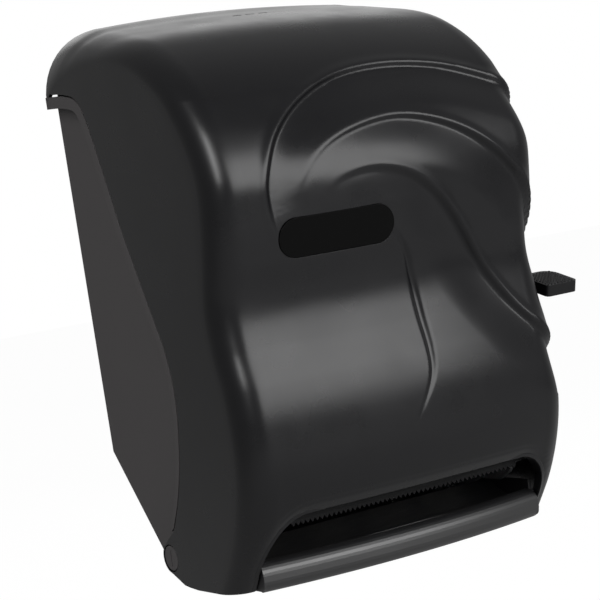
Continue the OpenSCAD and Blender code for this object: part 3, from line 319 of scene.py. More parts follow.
FINISHES: Dict[Slot, Finish] = {
    Slot.COVER: MouldedPlastic(
        "cover_grain", (0.0020, 0.0020, 0.0027), 0.29, depth=0.00003, specular=0.35
    ),
    Slot.BADGE: MouldedPlastic(
        "badge_satin", (0.0008, 0.0008, 0.0008), 0.25, grain=1500.0, depth=0.00001, specular=0.08
    ),
    Slot.HOUSING: MouldedPlastic(
        "housing_grain", (0.068, 0.064, 0.065), 0.55, grain=1600.0, depth=0.00005, specular=0.25
    ),
    Slot.BAR: MouldedPlastic("bar_satin", (0.004, 0.004, 0.0045), 0.42, specular=0.8),
    Slot.LEVER: MouldedPlastic("lever_grain", (0.004, 0.004, 0.0045), 0.4, specular=0.25),
    Slot.WHITE: MouldedPlastic("natural_acetal", (0.72, 0.70, 0.63), 0.35, grain=900.0, depth=0.00001),
    Slot.GREY: MouldedPlastic("grey_moulding", (0.10, 0.104, 0.11), 0.45, grain=1500.0),
    Slot.YELLOW: MouldedPlastic("yellow_moulding", (0.62, 0.40, 0.03), 0.4, grain=1200.0),
    Slot.FRAME: SheetMetal("plated_sheet", (0.50, 0.51, 0.52), 0.38, stretch=(600.0, 30.0, 600.0)),
    Slot.STEEL: SheetMetal("bright_steel", (0.60, 0.60, 0.60), 0.27),
    Slot.RUBBER: Rubber("roller_rubber", (0.018, 0.018, 0.018), 0.75),
}


class Paints:
    """Builds each finish once and hands it out."""

    def __init__(self) -> None:
        """Starts with no materials."""
        self.made: Dict[Slot, bpy.types.Material] = {}

    def dress(self, obj: bpy.types.Object, slot: Slot) -> None:
        """Gives an object the finish of a slot.

        Args:
            obj: Mesh object.
            slot: Which finish.
        """
        if slot not in self.made:
            self.made[slot] = FINISHES[slot].build()
        obj.data.materials.clear()
        obj.data.materials.append(self.made[slot])


# ------------ mesh helpers


def mesh_object(name: str, mesh: Mesh, angle: float = 35.0) -> bpy.types.Object:
    """Makes an object from bench points and faces, turned outwards and smooth up to an angle.

    Args:
        name: Name of the piece.
        mesh: Points in bench millimetres, and faces.
        angle: Edges sharper than this stay sharp, in degrees.

    Returns:
        The new object, linked to the scene.
    """
    points, faces = mesh
    in_frame = (points - np.array([0.0, 0.0, SCREW_MID_Z])) * MM
    data = bpy.data.meshes.new(name)
    data.from_pydata([tuple(p) for p in in_frame], [], [list(f) for f in faces])
    data.validate()
    obj = bpy.data.objects.new(name, data)
    bpy.context.scene.collection.objects.link(obj)
    bm = bmesh.new()
    bm.from_mesh(data)
    bmesh.ops.recalc_face_normals(bm, faces=bm.faces)
    bm.to_mesh(data)
    bm.free()
    smooth(obj, angle)
    return obj


def smooth(obj: bpy.types.Object, angle: float) -> None:
    """Smooth shading with sharp edges above an angle.

    Args:
        obj: Mesh object.
        angle: Limit in degrees.
    """
    obj.data.shade_smooth()
    obj.data.set_sharp_from_angle(angle=math.radians(angle))


def side_plane(side: int, at: float, origin: Point2 = (0.0, 0.0)) -> Matrix:
    """Matrix from a side view's plane to bench millimetres.

    Args:
        side: -1 for the left side, 1 for the right one.
        at: Distance of the plane from the middle.
        origin: Distance from the wall, negative in front of it, and height of the plane's origin.

    Returns:
        The matrix, with its Z away from the middle.
    """
    return Matrix(((0, 0, side, side * at), (1, 0, 0, origin[0]), (0, 1, 0, origin[1]), (0, 0, 0, 1)))


def prism(base: Sequence[Point2], place: Matrix, heights: Point2, cap: Sequence[Point2] = ()) -> Mesh:
    """A solid over an outline, straight or drawn in to a cap.

    Args:
        base: Points of the outline.
        place: Matrix from the outline's plane to bench millimetres.
        heights: Places of the base and the cap along the plane's normal.
        cap: Outline of the cap, with as many points, or nothing for a straight solid.

    Returns:
        Points and faces.
    """
    n = len(base)
    pts = [place @ Vector((x, y, h)) for h, outline in zip(heights, (base, cap or base)) for x, y in outline]
    faces = [list(range(n))[::-1], list(range(n, 2 * n))]
    faces += [[i, (i + 1) % n, n + (i + 1) % n, n + i] for i in range(n)]
    return np.array([tuple(p) for p in pts]), faces


def tube(place: Matrix, outer: float, bore: float, height: float, steps: int) -> Mesh:
    """A bored cylinder.

    Args:
        place: Matrix from its end face to bench millimetres.
        outer: Outer radius.
        bore: Radius of the bore.
        height: Length along the plane's normal.
        steps: Points round it.

    Returns:
        Points and faces.
    """
    rings = [ring(r, steps) for r in (outer, bore)]
    pts = [place @ Vector((x, y, h)) for h in (0.0, height) for circle in rings for x, y in circle]
    faces = []
    for i in range(steps):
        j = (i + 1) % steps
        for a, b in ((0, 2), (3, 1), (1, 0), (2, 3)):
            faces.append([a * steps + i, a * steps + j, b * steps + j, b * steps + i])
    return np.array([tuple(p) for p in pts]), faces


def quads(grid: np.ndarray) -> List[List[int]]:
    """Faces between the points of a grid.

    Args:
        grid: Rows of the points' numbers.

    Returns:
        The faces.
    """
    corners = np.stack([grid[:-1, :-1], grid[:-1, 1:], grid[1:, 1:], grid[1:, :-1]], -1)
    return corners.reshape(-1, 4).tolist()


def joined(parts: Sequence[Mesh]) -> Mesh:
    """Puts several meshes in one list of points and faces.

    Args:
        parts: The meshes.

    Returns:
        Points and faces.
    """
    points: List[np.ndarray] = []
    faces: List[List[int]] = []
    base = 0
    for p, f in parts:
        points.append(p)
        faces += [[base + i for i in face] for face in f]
        base += len(p)
    return np.concatenate(points), faces


def arc(centre: Point2, r: float, a0: float, a1: float, n: int) -> List[Point2]:
    """Points on an arc.

    Args:
        centre: Centre of the arc.
        r: Radius.
        a0: First angle in degrees.
        a1: Last angle in degrees.
        n: Number of steps.

    Returns:
        The points.
    """
    angles = [math.radians(a0 + (a1 - a0) * i / n) for i in range(n + 1)]
    return [(centre[0] + r * math.cos(a), centre[1] + r * math.sin(a)) for a in angles]


def ring(r: float, n: int) -> List[Point2]:
    """Points on a circle about the origin.

    Args:
        r: Radius.
        n: Number of points.

    Returns:
        The points.
    """
    return arc((0.0, 0.0), r, 0.0, 360.0, n)[:-1]


def stadium(length: float, height: float) -> List[Point2]:
    """Outline with two round ends.

    Args:
        length: Over both ends.
        height: Width across.

    Returns:
        The outline.
    """
    c = (length - height) / 2
    return arc((c, 0), height / 2, -90, 90, 20) + arc((-c, 0), height / 2, 90, 270, 20)


def spline_at(four: Sequence[Values], t: Values) -> Values:
    """Catmull-Rom spline between the second and the third of four values.

    Args:
        four: The values.
        t: Share of the way.

    Returns:
        The value.
    """
    p0, p1, p2, p3 = four
    bend = 2 * p0 - 5 * p1 + 4 * p2 - p3
    return 0.5 * (2 * p1 + (p2 - p0) * t + bend * t * t + (3 * p1 - p0 - 3 * p2 + p3) * t * t * t)


def through(points: Sequence[Point2], n: int) -> np.ndarray:
    """Smooth curve through all points.

    Args:
        points: Points of the curve.
        n: Steps between two of them.

    Returns:
        Array of points.
    """
    p = np.array(points, float)
    m = len(p) - 1
    out = []
    for i in range(m):
        four = (p[max(0, i - 1)], p[i], p[i + 1], p[min(m, i + 2)])
        out += [spline_at(four, k / n) for k in range(n)]
    return np.array(out + [p[m]])


def normals(line: np.ndarray) -> np.ndarray:
    """Unit normals to the left of a line's direction.

    Args:
        line: Array of the line's points.

    Returns:
        One normal for each point.
    """
    ahead = np.vstack([line[1:], line[-1:]]) - np.vstack([line[:1], line[:-1]])
    return np.stack([-ahead[:, 1], ahead[:, 0]], 1) / np.linalg.norm(ahead, axis=1)[:, None]


def nearest(p: np.ndarray, line: np.ndarray) -> Tuple[np.ndarray, np.ndarray, np.ndarray]:
    """Nearest places on a line for many points.

    Args:
        p: Array of points.
        line: Array of the line's points.

    Returns:
        Distance, share of the way along, and side, 1 or -1.
    """
    best = np.full(len(p), 1e9)
    share = np.zeros(len(p))
    side = np.ones(len(p))
    last = len(line) - 1
    for i in range(last):
        a, d = line[i], line[i + 1] - line[i]
        v = p - a
        t = np.clip(v @ d / (d @ d), 0.0, 1.0)
        dist = np.linalg.norm(v - t[:, None] * d, axis=1)
        closer = dist < best
        best = np.where(closer, dist, best)
        share = np.where(closer, (i + t) / last, share)
        side = np.where(closer, np.where(v[:, 0] * d[1] - v[:, 1] * d[0] >= 0, 1.0, -1.0), side)
    return best, share, side


def ease(t: Values) -> Values:
    """Smooth step from 0 to 1.

    Args:
        t: Value, held to 0 to 1.

    Returns:
        The eased value.
    """
    c = np.clip(t, 0.0, 1.0)
    return c * c * (3 - 2 * c)


def mix(a: Values, b: Values, t: Values) -> Values:
    """Straight mix of two values.

    Args:
        a: Value at 0.
        b: Value at 1.
        t: Share.

    Returns:
        The mix.
    """
    return a + (b - a) * t


# ------------ cover


@dataclass
class Line:
    """A smooth line on the cover's unrolled face.

    Attributes:
        points: Places across (unrolled) and heights that the line runs through.
    """

    points: Sequence[Point2]

    def __post_init__(self) -> None:
        """Draws the smooth line."""
        self.line = through(self.points, 6)

    def step(self, p: np.ndarray) -> np.ndarray:
        """What the line adds to the relief at many points.

        Args:
            p: Array of points.

        Returns:
            Shares of a wave step, negative into the cover.
        """
        raise NotImplementedError


@dataclass
class Ridge(Line):
    """A wave: the face falls in at the line and comes back up behind it.

    Attributes:
        rise: Share of the line over which the step grows.
        land: Width of the step's face.
        fall: Distance over which the face comes back up.
    """

    # The bead's height in steps, its distance ahead of the line and its width.
    BEAD, BEAD_AT, BEAD_WIDTH = 0.26, 1.2, 3.0

    rise: float
    land: float
    fall: float

    def step(self, p: np.ndarray) -> np.ndarray:
        """The step with the bead along its crest.

        Args:
            p: Array of points.

        Returns:
            Shares of a wave step, negative into the cover.
        """
        dist, share, side = nearest(p, self.line)
        d = np.where(side > 0, dist, 0.0)
        fall = ease(d / self.land) * (1 - ease((d - self.land) / self.fall))
        bead = self.BEAD * np.exp(-((dist + self.BEAD_AT * side) / self.BEAD_WIDTH) ** 2)
        return ease(share / self.rise) * (bead - fall)


@dataclass
class Groove(Line):
    """A groove that is deepest and widest in its middle."""

    DEPTH = 0.6

    def step(self, p: np.ndarray) -> np.ndarray:
        """The groove.

        Args:
            p: Array of points.

        Returns:
            Shares of a wave step, negative into the cover.
        """
        dist, share, _ = nearest(p, self.line)
        swell = np.sin(np.pi * share)
        return -self.DEPTH * swell * (1 - ease(dist / (1 + 4 * swell)))


WAVES: Tuple[Line, ...] = (
    Ridge(
        [(-94, 238), (-101, 262), (-100, 286), (-84, 314), (-55, 336), (-15, 351), (30, 355),
         (75, 350), (112, 338), (138, 326), (158, 308)],
        0.2, 5.0, 30.0,
    ),
    Ridge(
        [(-80, 258), (-74, 279), (-54, 299), (-24, 311), (14, 316), (48, 310), (80, 295),
         (110, 271), (134, 244), (158, 206)],
        0.75, 4.0, 34.0,
    ),
    Ridge(
        [(-58, 266), (-42, 279), (-14, 283), (14, 276), (38, 260), (58, 237), (76, 210),
         (96, 180), (120, 152), (158, 124)],
        0.6, 5.0, 40.0,
    ),
    Groove([(-4, 243), (9, 222), (15, 200), (17, 176), (17, 150), (13, 128), (-5, 100)]),
)


@dataclass
class CoverShape:
    """The wave cover's outer face as a function of row and column.

    Attributes:
        width: Side face to side face.
        height: Bottom of the legs to the crown.
        depth: Greatest depth in front of the wall.
        wall: Wall thickness.
        edge_r: Radius of the upright edges.
        top_r: Radius of the upper corners at the wall.
        bow: Forward bow of the front.
        rise: Rise of the crown.
        step: Depth of each wave step.
        gap: Gap to the housing's rim.
        setback: How far the front stands behind its depth, at even heights up to the dome.
        dome_share: Way from the crown's reach to the front's, for every 15 degrees of the dome.
        hinge: Distance from the wall, negative, and height of the hinge's axis.
        slot_w: Width of the paper slot.
        slot_top: Height of its upper edge.
    """

    # Left and lower limit of the waves, their greatest depth in steps, how much they thin the wall, and
    # the distance over which they fade out behind the rounded edge.
    FAN_LEFT, FAN_LOW, DEEPEST, THINNING, FADE = -112.0, 92.0, -1.15, 1.0, 14.0
    # The face turns in round the slot: reach above it, depth and width, then the crease outside of that.
    LIP_REACH, LIP_FALL, LIP_WIDTH = 14.0, 2.6, 7.0
    CREASE, CREASE_AT, CREASE_WIDTH = 0.45, 7.4, 1.1
    # The slot's corners: width, and the height where they start.
    SLOT_CORNER, SLOT_FOOT = 31.0, 14.0
    # Start of the side wall right under the crown, degrees between the dome's stations, gap to the wall.
    TAB_START, DOME_STEP, WALL_GAP = 32.0, 15.0, 1.0

    width: float = 282.0
    height: float = 420.0
    depth: float = 235.0
    wall: float = 3.0
    edge_r: float = 24.0
    top_r: float = 52.0
    bow: float = 9.0
    rise: float = 8.0
    step: float = 4.2
    gap: float = 1.5
    setback: Sequence[float] = (80, 55, 33, 17.5, 8.5, 6.5, 9, 15.5, 17, 10, 3.5, 1, 10, 28, 50)
    dome_share: Sequence[float] = (1.30, 1, 0.66, 0.33, 0.15, 0.065, 0.018, 0, 0.018)
    hinge: Point2 = (-84.0, 21.0)
    slot_w: float = 254.0
    slot_top: float = 52.0

    def __post_init__(self) -> None:
        """Sets what follows from the sizes."""
        self.half = self.width / 2
        self.fan_z = self.height - 75.0
        self.edge_line = self.side_edge()

    def side_edge(self) -> np.ndarray:
        """The cover's rear edge in side view, from the wall to the leg's bottom.

        Returns:
            Array of (distance, height), with distances negative.
        """
        tab = self.height - 50.0
        rim = through(
            [(0, tab), (-26, tab - 2), (-48, tab - 8), (-59, tab - 24), (-71, tab - 57), (-87, 264),
             (-111, 205), (-124, 172), (-128, 139), (-121, 100), (-109, 68), (-95, 44)],
            4,
        )
        edge = rim - normals(rim) * self.gap
        edge = edge[edge[:, 0] < -8]
        boss = arc(self.hinge, 11.5, 60, -80, 16)
        return np.array([(-1.0, tab + 6), *map(tuple, edge), *boss, (-100.0, 1.5), (-118.0, 0.0)])

    def along(self, stations: Sequence[float], s: Values) -> Values:
        """Smooth value between stations, of which the first and the last only steer the curve.

        Args:
            stations: Values at even steps.
            s: Steps from the second station.

        Returns:
            The value.
        """
        s = np.clip(s, 0, len(stations) - 3.001)
        i = np.floor(s).astype(int)
        k = np.array(stations, float)
        return spline_at([k[i + j] for j in range(4)], s - i)

    def depth_at(self, z: Values) -> Values:
        """Depth of the front at a height.

        Args:
            z: Heights.

        Returns:
            Depths.
        """
        pitch = self.fan_z / (len(self.setback) - 3)
        return self.depth - self.along(self.setback, np.asarray(z, float) / pitch)

    def dome_at(self, a: float) -> float:
        """Reach of the dome at an angle.

        Args:
            a: Degrees above level.

        Returns:
            The reach.
        """
        share = self.along(self.dome_share, a / self.DOME_STEP)
        return float(mix(self.height - self.fan_z, self.depth_at(self.fan_z), share))

    def relief(self, p: np.ndarray, fan: np.ndarray) -> np.ndarray:
        """Depth of the waves.

        Args:
            p: Places across and heights, unrolled round the edges and over the dome.
            fan: Which of them carry waves.

        Returns:
            Millimetres, negative into the cover.
        """
        total = np.zeros(len(p))
        if fan.any():
            total[fan] = self.step * np.maximum(self.DEEPEST, sum(line.step(p[fan]) for line in WAVES))
        return total

    def lip_fall(self, x: np.ndarray, z: np.ndarray) -> np.ndarray:
        """How far the face turns in round the paper slot, with the crease ahead of it.

        Args:
            x: Places across.
            z: Heights.

        Returns:
            Millimetres, negative into the cover.
        """
        dist = nearest(np.stack([x, z], 1), np.array(self.slot_edge(24)))[0]
        turn = self.LIP_FALL * np.clip(1 - dist / self.LIP_WIDTH, 0, 1)
        crease = self.CREASE * np.exp(-(((dist - self.CREASE_AT) / self.CREASE_WIDTH) ** 2))
        near = (np.abs(x) < self.slot_w / 2 + 12) & (z < self.slot_top + 12)
        return np.where(near, -turn - crease, 0.0)

    def slot_edge(self, n: int) -> List[Point2]:
        """The slot's edge in front view, from its lower left end to its lower right end.

        Args:
            n: Steps in each rounded corner.

        Returns:
            The points.
        """
        w, c, foot_z = self.slot_w / 2, self.SLOT_CORNER, self.SLOT_FOOT
        corner = [(-w + 1.5 + c * (1 + x), foot_z + (self.slot_top - foot_z) * y)
                  for x, y in arc((0, 0), 1, 180, 90, n)]
        left = [(-w + 2.2, -5.0), (-w + 2.1, 8.0), *corner]
        return [*left, *[(-x, y) for x, y in left[::-1]]]

    def row(self, t: float, columns: np.ndarray, off: float) -> np.ndarray:
        """One row of the face.

        Args:
            t: Height up to the dome, then the dome's angle added to it.
            columns: Rows of (zone, place, side).
            off: Distance inside the outer face.

        Returns:
            Points in bench millimetres.
        """
        a = max(0.0, t - self.fan_z)
        k = a / 90
        z0 = min(t, self.fan_z)
        rho = (self.dome_at(a) if a > 0 else float(self.depth_at(t))) - off
        r = float(mix(self.edge_r, self.top_r, k**1.3)) - off
        bow = float(mix(self.bow, self.rise, k))
        w = self.half - off
        flat = w - r
        rc = rho - bow * flat * flat / (w * w) - r
        start = min(self.start(t), rc - 0.5)
        zone, f, side = columns[:, 0], columns[:, 1], columns[:, 2]
        on_side, on_edge = zone == 0, zone == 1
        ang = np.radians(f)
        quarter = flat + r * math.pi / 2
        x = np.where(on_side, side * w, np.where(on_edge, side * (flat + r * np.cos(ang)), flat * f))
        front = np.where(on_edge, rc + r * np.sin(ang), rho - bow * (flat * f) ** 2 / (w * w))
        rad = np.where(on_side, mix(start, rc, f), front)
        nx = np.where(on_side, side, np.where(on_edge, side * np.cos(ang), 0.0))
        nr = np.where(on_side, 0.0, np.where(on_edge, np.sin(ang), 1.0))
        round_edge = np.where(on_edge, side * (flat + r * np.radians(90 - f)), flat * f)
        across = np.where(on_side, side * (quarter + rc - mix(start, rc, f)), round_edge)
        ca, sa = math.cos(math.radians(a)), math.sin(math.radians(a))
        z = z0 + rad * sa
        fade = 1 - ease((np.abs(across) - quarter) / self.FADE)
        fan = (z >= self.FAN_LOW) & (across >= self.FAN_LEFT)
        m = self.relief(np.stack([across, z], 1), fan) * fade
        if off > 0:
            m = m - np.where(fan, self.THINNING, 0.0) * fade
        elif t < self.slot_top + self.LIP_REACH:
            m = m + self.lip_fall(x, np.full(len(x), t))
        x, rad = x + nx * m, rad + nr * m
        return np.stack([x, np.minimum(-rad * ca, -self.WALL_GAP), z0 + rad * sa], 1)

    def start(self, t: float) -> float:
        """Where the side wall of a row starts, from the wall or the dome's axis.

        Args:
            t: Row, as in row().

        Returns:
            Millimetres.
        """
        a = math.radians(max(0.0, t - self.fan_z))
        d = np.array([-math.cos(a), math.sin(a)])
        o = np.array([0.0, min(t, self.fan_z)])
        hits = []
        for p, q in zip(self.edge_line[:-1], self.edge_line[1:]):
            e, v = q - p, p - o
            det = d[0] * -e[1] + e[0] * d[1]
            if abs(det) < 1e-9:
                continue
            s = (v[0] * -e[1] + e[0] * v[1]) / det
            u = (d[0] * v[1] - d[1] * v[0]) / det
            if -1e-9 <= u <= 1 + 1e-9 and s > 0:
                hits.append(s)
        return min(hits, default=self.TAB_START)


@dataclass
class Cover:
    """The hinged wave cover with its slot lip, hinge bosses and ribs.

    Attributes:
        shape: The cover's surface.
        paints: The finishes.
    """

    SHARP = 65.0
    # Steps across and up the outer face. Both sums divide by COARSE, the inner face's step.
    SIDE_STEPS, EDGE_STEPS, FRONT_STEPS = 12, 12, 198
    LOW_ROWS, FRONT_ROWS, DOME_ROWS = 66, 204, 120
    COARSE = 3
    # Openings: how far the slot runs out below, key slots, badge recess and pin holes.
    SLOT_UNDER = 4.0
    KEY_PITCH, KEY_LENGTH, KEY_WIDTH = 11.5, 8.0, 2.8
    RECESS_LENGTH, RECESS_WIDTH, RECESS_DEPTH = 94.6, 28.6, 2.5
    BADGE_AT = (-47.0, 242.0)
    PIN_HOLE_R = 10.3
    # The lip's section, inwards and deeper, then the hinge bosses and their ribs.
    LIP_SECTION = ((0.02, 1.5), (0.02, 10.6), (0.4, 11.0), (2.6, 11.0), (2.6, 1.5))
    BOSS_R, BOSS_BORE, BOSS_AT, BOSS_LENGTH = 11.4, 6.2, 132.6, 5.5
    RIB_ENDS = ((-125.0, 12.0), (-118.0, 40.0), (-117.0, 60.0))
    RIB_START, RIB_ROOT, RIB_TIP, RIB_AT, RIB_HEIGHT = 9.0, 1.6, 1.2, 135.2, 3.0

    shape: CoverShape
    paints: Paints

    def columns(self) -> np.ndarray:
        """Stations across a row: side wall, rounded edge, front, rounded edge, side wall.

        Returns:
            Rows of (zone, place, side), with zone 0 for a side wall, 1 for an edge and 2 for the front.
        """
        side, edge, front = self.SIDE_STEPS, self.EDGE_STEPS, self.FRONT_STEPS
        left = [(0, i / side, -1) for i in range(side)] + [(1, 90 * i / edge, -1) for i in range(edge)]
        mid = [(2, -1 + 2 * i / front, 1) for i in range(front)]
        right = [(1, 90 - 90 * i / edge, 1) for i in range(edge)]
        right += [(0, i / side, 1) for i in range(side, -1, -1)]
        return np.array(left + mid + right, float)

    def rows(self) -> np.ndarray:
        """Stations up the cover, closer together round the slot and low on the dome.

        Returns:
            Row values from the legs to the wall.
        """
        s = self.shape
        lip_z = s.slot_top + s.LIP_REACH
        low = np.linspace(0.0, lip_z, self.LOW_ROWS + 1)[:-1]
        front = np.linspace(lip_z, s.fan_z, self.FRONT_ROWS + 1)[:-1]
        dome = s.fan_z + 90 * np.linspace(0, 1, self.DOME_ROWS + 1) ** 1.35
        return np.concatenate([low, front, dome])

    def shell(self) -> Mesh:
        """The closed shell: fine outer face, coarser inner face and its edges.

        Returns:
            Points and faces.
        """
        s, c = self.shape, self.COARSE
        cols, rows = self.columns(), self.rows()
        nr, nc = len(rows), len(cols)
        mr, mc = (nr - 1) // c + 1, (nc - 1) // c + 1
        outer = np.concatenate([s.row(t, cols, 0.0) for t in rows])
        inner = np.concatenate([s.row(t, cols[::c], s.wall) for t in rows[::c]])
        o = np.arange(nr * nc).reshape(nr, nc)
        n = nr * nc + np.arange(mr * mc).reshape(mr, mc)
        faces = quads(o) + [face[::-1] for face in quads(n)]
        rims = ((o[0], n[0], 1), (o[-1], n[-1], -1), (o[:, 0], n[:, 0], -1), (o[:, -1], n[:, -1], 1))
        for fine, coarse, turn in rims:
            for k in range(len(coarse) - 1):
                face = [*fine[c * k:c * k + c + 1][::-1], *coarse[k:k + 2]]
                faces.append([int(i) for i in face[::turn]])
        return np.concatenate([outer, inner]), faces

    def cutters(self) -> Mesh:
        """What is cut out of the shell: slot, key slots, badge recess and pin holes.

        Returns:
            Points and faces.
        """
        s = self.shape
        front = Matrix(((1, 0, 0, 0), (0, 0, -1, -100), (0, 1, 0, 0), (0, 0, 0, 1)))
        slot = [(x, z - self.SLOT_UNDER if z < 0 else z) for x, z in s.slot_edge(16)]
        parts = [prism(slot, front, (0.0, 200.0))]
        for k in (-1, 0, 1):
            up = Matrix.Translation((k * self.KEY_PITCH, -81.0, 390.0))
            parts.append(prism(stadium(self.KEY_LENGTH, self.KEY_WIDTH), up, (0.0, 60.0)))
        recess = stadium(self.RECESS_LENGTH, self.RECESS_WIDTH)
        parts.append(prism(recess, self.badge_place(self.RECESS_DEPTH), (0.0, 30.0)))
        for side in (-1, 1):
            parts.append(prism(ring(self.PIN_HOLE_R, 36), side_plane(side, 131.0, s.hinge), (0.0, 20.0)))
        return joined(parts)

    def badge_place(self, inset: float) -> Matrix:
        """Matrix of the badge's plane on the sloping face.

        Args:
            inset: How far inside the face.

        Returns:
            The matrix, with its Z out of the cover.
        """
        s = self.shape
        x, z = self.BADGE_AT
        lean = math.atan2(float(s.depth_at(z + 12) - s.depth_at(z - 12)), 24.0)
        yaw = math.atan2(2 * s.bow * x / (s.half * s.half), 1.0)
        y = -float(s.depth_at(z)) + s.bow * (x / s.half) ** 2 + inset
        turn = Matrix.Rotation(yaw, 4, "Z") @ Matrix.Rotation(lean + math.pi / 2, 4, "X")
        return Matrix.Translation((x, y, z)) @ turn

    def lip(self) -> Mesh:
        """The lip that stands inwards round the slot.

        Returns:
            Points and faces.
        """
        path = np.array([(x, max(z, 0.5)) for x, z in self.shape.slot_edge(16)])
        pts: List[Point3] = []
        for p, n in zip(path, normals(path)):
            for off, deep in self.LIP_SECTION:
                x, z = p + n * off
                pts.append((x, self.face_y(x, z) + deep, z))
        m, c = len(path), len(self.LIP_SECTION)
        faces = [[i * c + j, i * c + (j + 1) % c, (i + 1) * c + (j + 1) % c, (i + 1) * c + j]
                 for i in range(m - 1) for j in range(c)]
        faces += [list(range(c))[::-1], [(m - 1) * c + j for j in range(c)]]
        return np.array(pts), faces

    def face_y(self, x: float, z: float) -> float:
        """Place of the plain front face.

        Args:
            x: Place across.
            z: Height.

        Returns:
            Distance from the wall plane, negative.
        """
        s = self.shape
        w = s.half - s.edge_r
        flat = min(abs(x), w)
        y = -float(s.depth_at(z)) + s.bow * flat * flat / (s.half * s.half)
        over = abs(x) - w
        return y if over <= 0 else y + s.edge_r - math.sqrt(max(1.0, s.edge_r**2 - over**2))

    def bosses(self) -> Mesh:
        """Hinge bosses on the insides of the legs, with three ribs each.

        Returns:
            Points and faces.
        """
        hinge = Vector(self.shape.hinge)
        parts = []
        for side in (-1, 1):
            place = side_plane(side, self.BOSS_AT, self.shape.hinge)
            parts.append(tube(place, self.BOSS_R, self.BOSS_BORE, self.BOSS_LENGTH, 48))
            for end in self.RIB_ENDS:
                tip = Vector(end)
                d = (tip - hinge).normalized()
                q = Vector((-d.y, d.x))
                root = hinge + d * self.RIB_START
                outline = [root + q * self.RIB_ROOT, tip + q * self.RIB_TIP,
                           tip - q * self.RIB_TIP, root - q * self.RIB_ROOT]
                parts.append(prism(outline, side_plane(side, self.RIB_AT), (0.0, self.RIB_HEIGHT)))
        return joined(parts)

    def build(self) -> None:
        """Builds the cover and lets it stand for its CAD node."""
        hood = mesh_object("cover_hood", self.shell(), self.SHARP)
        cutter = mesh_object("cover_cutters", self.cutters())
        cut = hood.modifiers.new("openings", "BOOLEAN")
        cut.operation = "DIFFERENCE"
        cut.solver = "EXACT"
        cut.object = cutter
        graph = bpy.context.evaluated_depsgraph_get()
        done = bpy.data.meshes.new_from_object(hood.evaluated_get(graph))
        hood.modifiers.clear()
        hood.data = done
        bpy.data.objects.remove(cutter)
        smooth(hood, self.SHARP)
        self.place(hood)
        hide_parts("front_cover")
        for name, made in (("cover_slot_lip", self.lip()), ("cover_bosses", self.bosses())):
            self.place(mesh_object(name, made))

    def place(self, obj: bpy.types.Object) -> None:
        """Paints a piece and lets it ride on the cover.

        Args:
            obj: The piece.
        """
        self.paints.dress(obj, Slot.COVER)
        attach(obj, Body.COVER.value)
        LOG.info("%s: %d faces", obj.name, len(obj.data.polygons))


# ------------ lever grip


@dataclass
class LeverGrip:
    """Raised diamonds on the paddle's upper face.

    Attributes:
        paints: The finishes.
        front: Front edge of the paddle, distance and height.
        inner: Inner edge of the paddle.
        width: Width of the paddle.
        length: Length of the paddle.
        corner: Radius of its outer rear corner.
        tilt: Forward tilt in degrees.
        pitch: Distance between diamonds of a row.
        height: Height of a diamond.
        first: Distance of the first diamond from both edges.
        margin: Least distance of a diamond from an edge.
    """

    # A diamond's foot, sunk in the face, and its half width at foot and top in pitches.
    ROOT, ROOT_SHARE, TOP_SHARE = -0.05, 0.46, 0.16

    paints: Paints
    front: Point2 = (-191.0, 171.0)
    inner: float = 158.0
    width: float = 30.0
    length: float = 34.0
    corner: float = 11.0
    tilt: float = 16.0
    pitch: float = 3.3
    height: float = 0.8
    first: float = 2.6
    margin: float = 1.9

    def spots(self) -> List[Point2]:
        """Centres of the diamonds on the paddle, in staggered rows.

        Returns:
            Places across and back from the front-inner corner.
        """
        rows = range(int(2 * self.length / self.pitch) + 1)
        steps = range(int(self.width / self.pitch) + 1)
        grid = [(self.first + self.pitch * (i + (k % 2) / 2), self.first + self.pitch * k / 2)
                for i in steps for k in rows]
        return [spot for spot in grid if self.inside(*spot)]

    def inside(self, x: float, y: float) -> bool:
        """Whether a diamond at a place is on the paddle.

        Args:
            x: Across.
            y: Back.

        Returns:
            True if it is.
        """
        m = self.margin
        if not (m < x < self.width - m and m < y < self.length - m):
            return False
        cx, cy = self.width - self.corner, self.length - self.corner
        return not (x > cx and y > cy and math.hypot(x - cx, y - cy) > self.corner - m)

    def build(self) -> None:
        """Builds the diamonds as one piece that rides on the lever."""
        tilt = Matrix.Rotation(math.radians(self.tilt), 4, "X")
        place = Matrix.Translation((self.inner, *self.front)) @ tilt
        parts = []
        for x, y in self.spots():
            base, cap = ([(x + r, y), (x, y + r), (x - r, y), (x, y - r)]
                         for r in (self.pitch * self.ROOT_SHARE, self.pitch * self.TOP_SHARE))
            parts.append(prism(base, place, (self.ROOT, self.height), cap))
        grip = mesh_object("lever_grip", joined(parts), 20.0)
        self.paints.dress(grip, Slot.LEVER)
        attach(grip, Body.LEVER.value)
        LOG.info("lever_grip: %d diamonds", len(parts))


# ------------ front bar


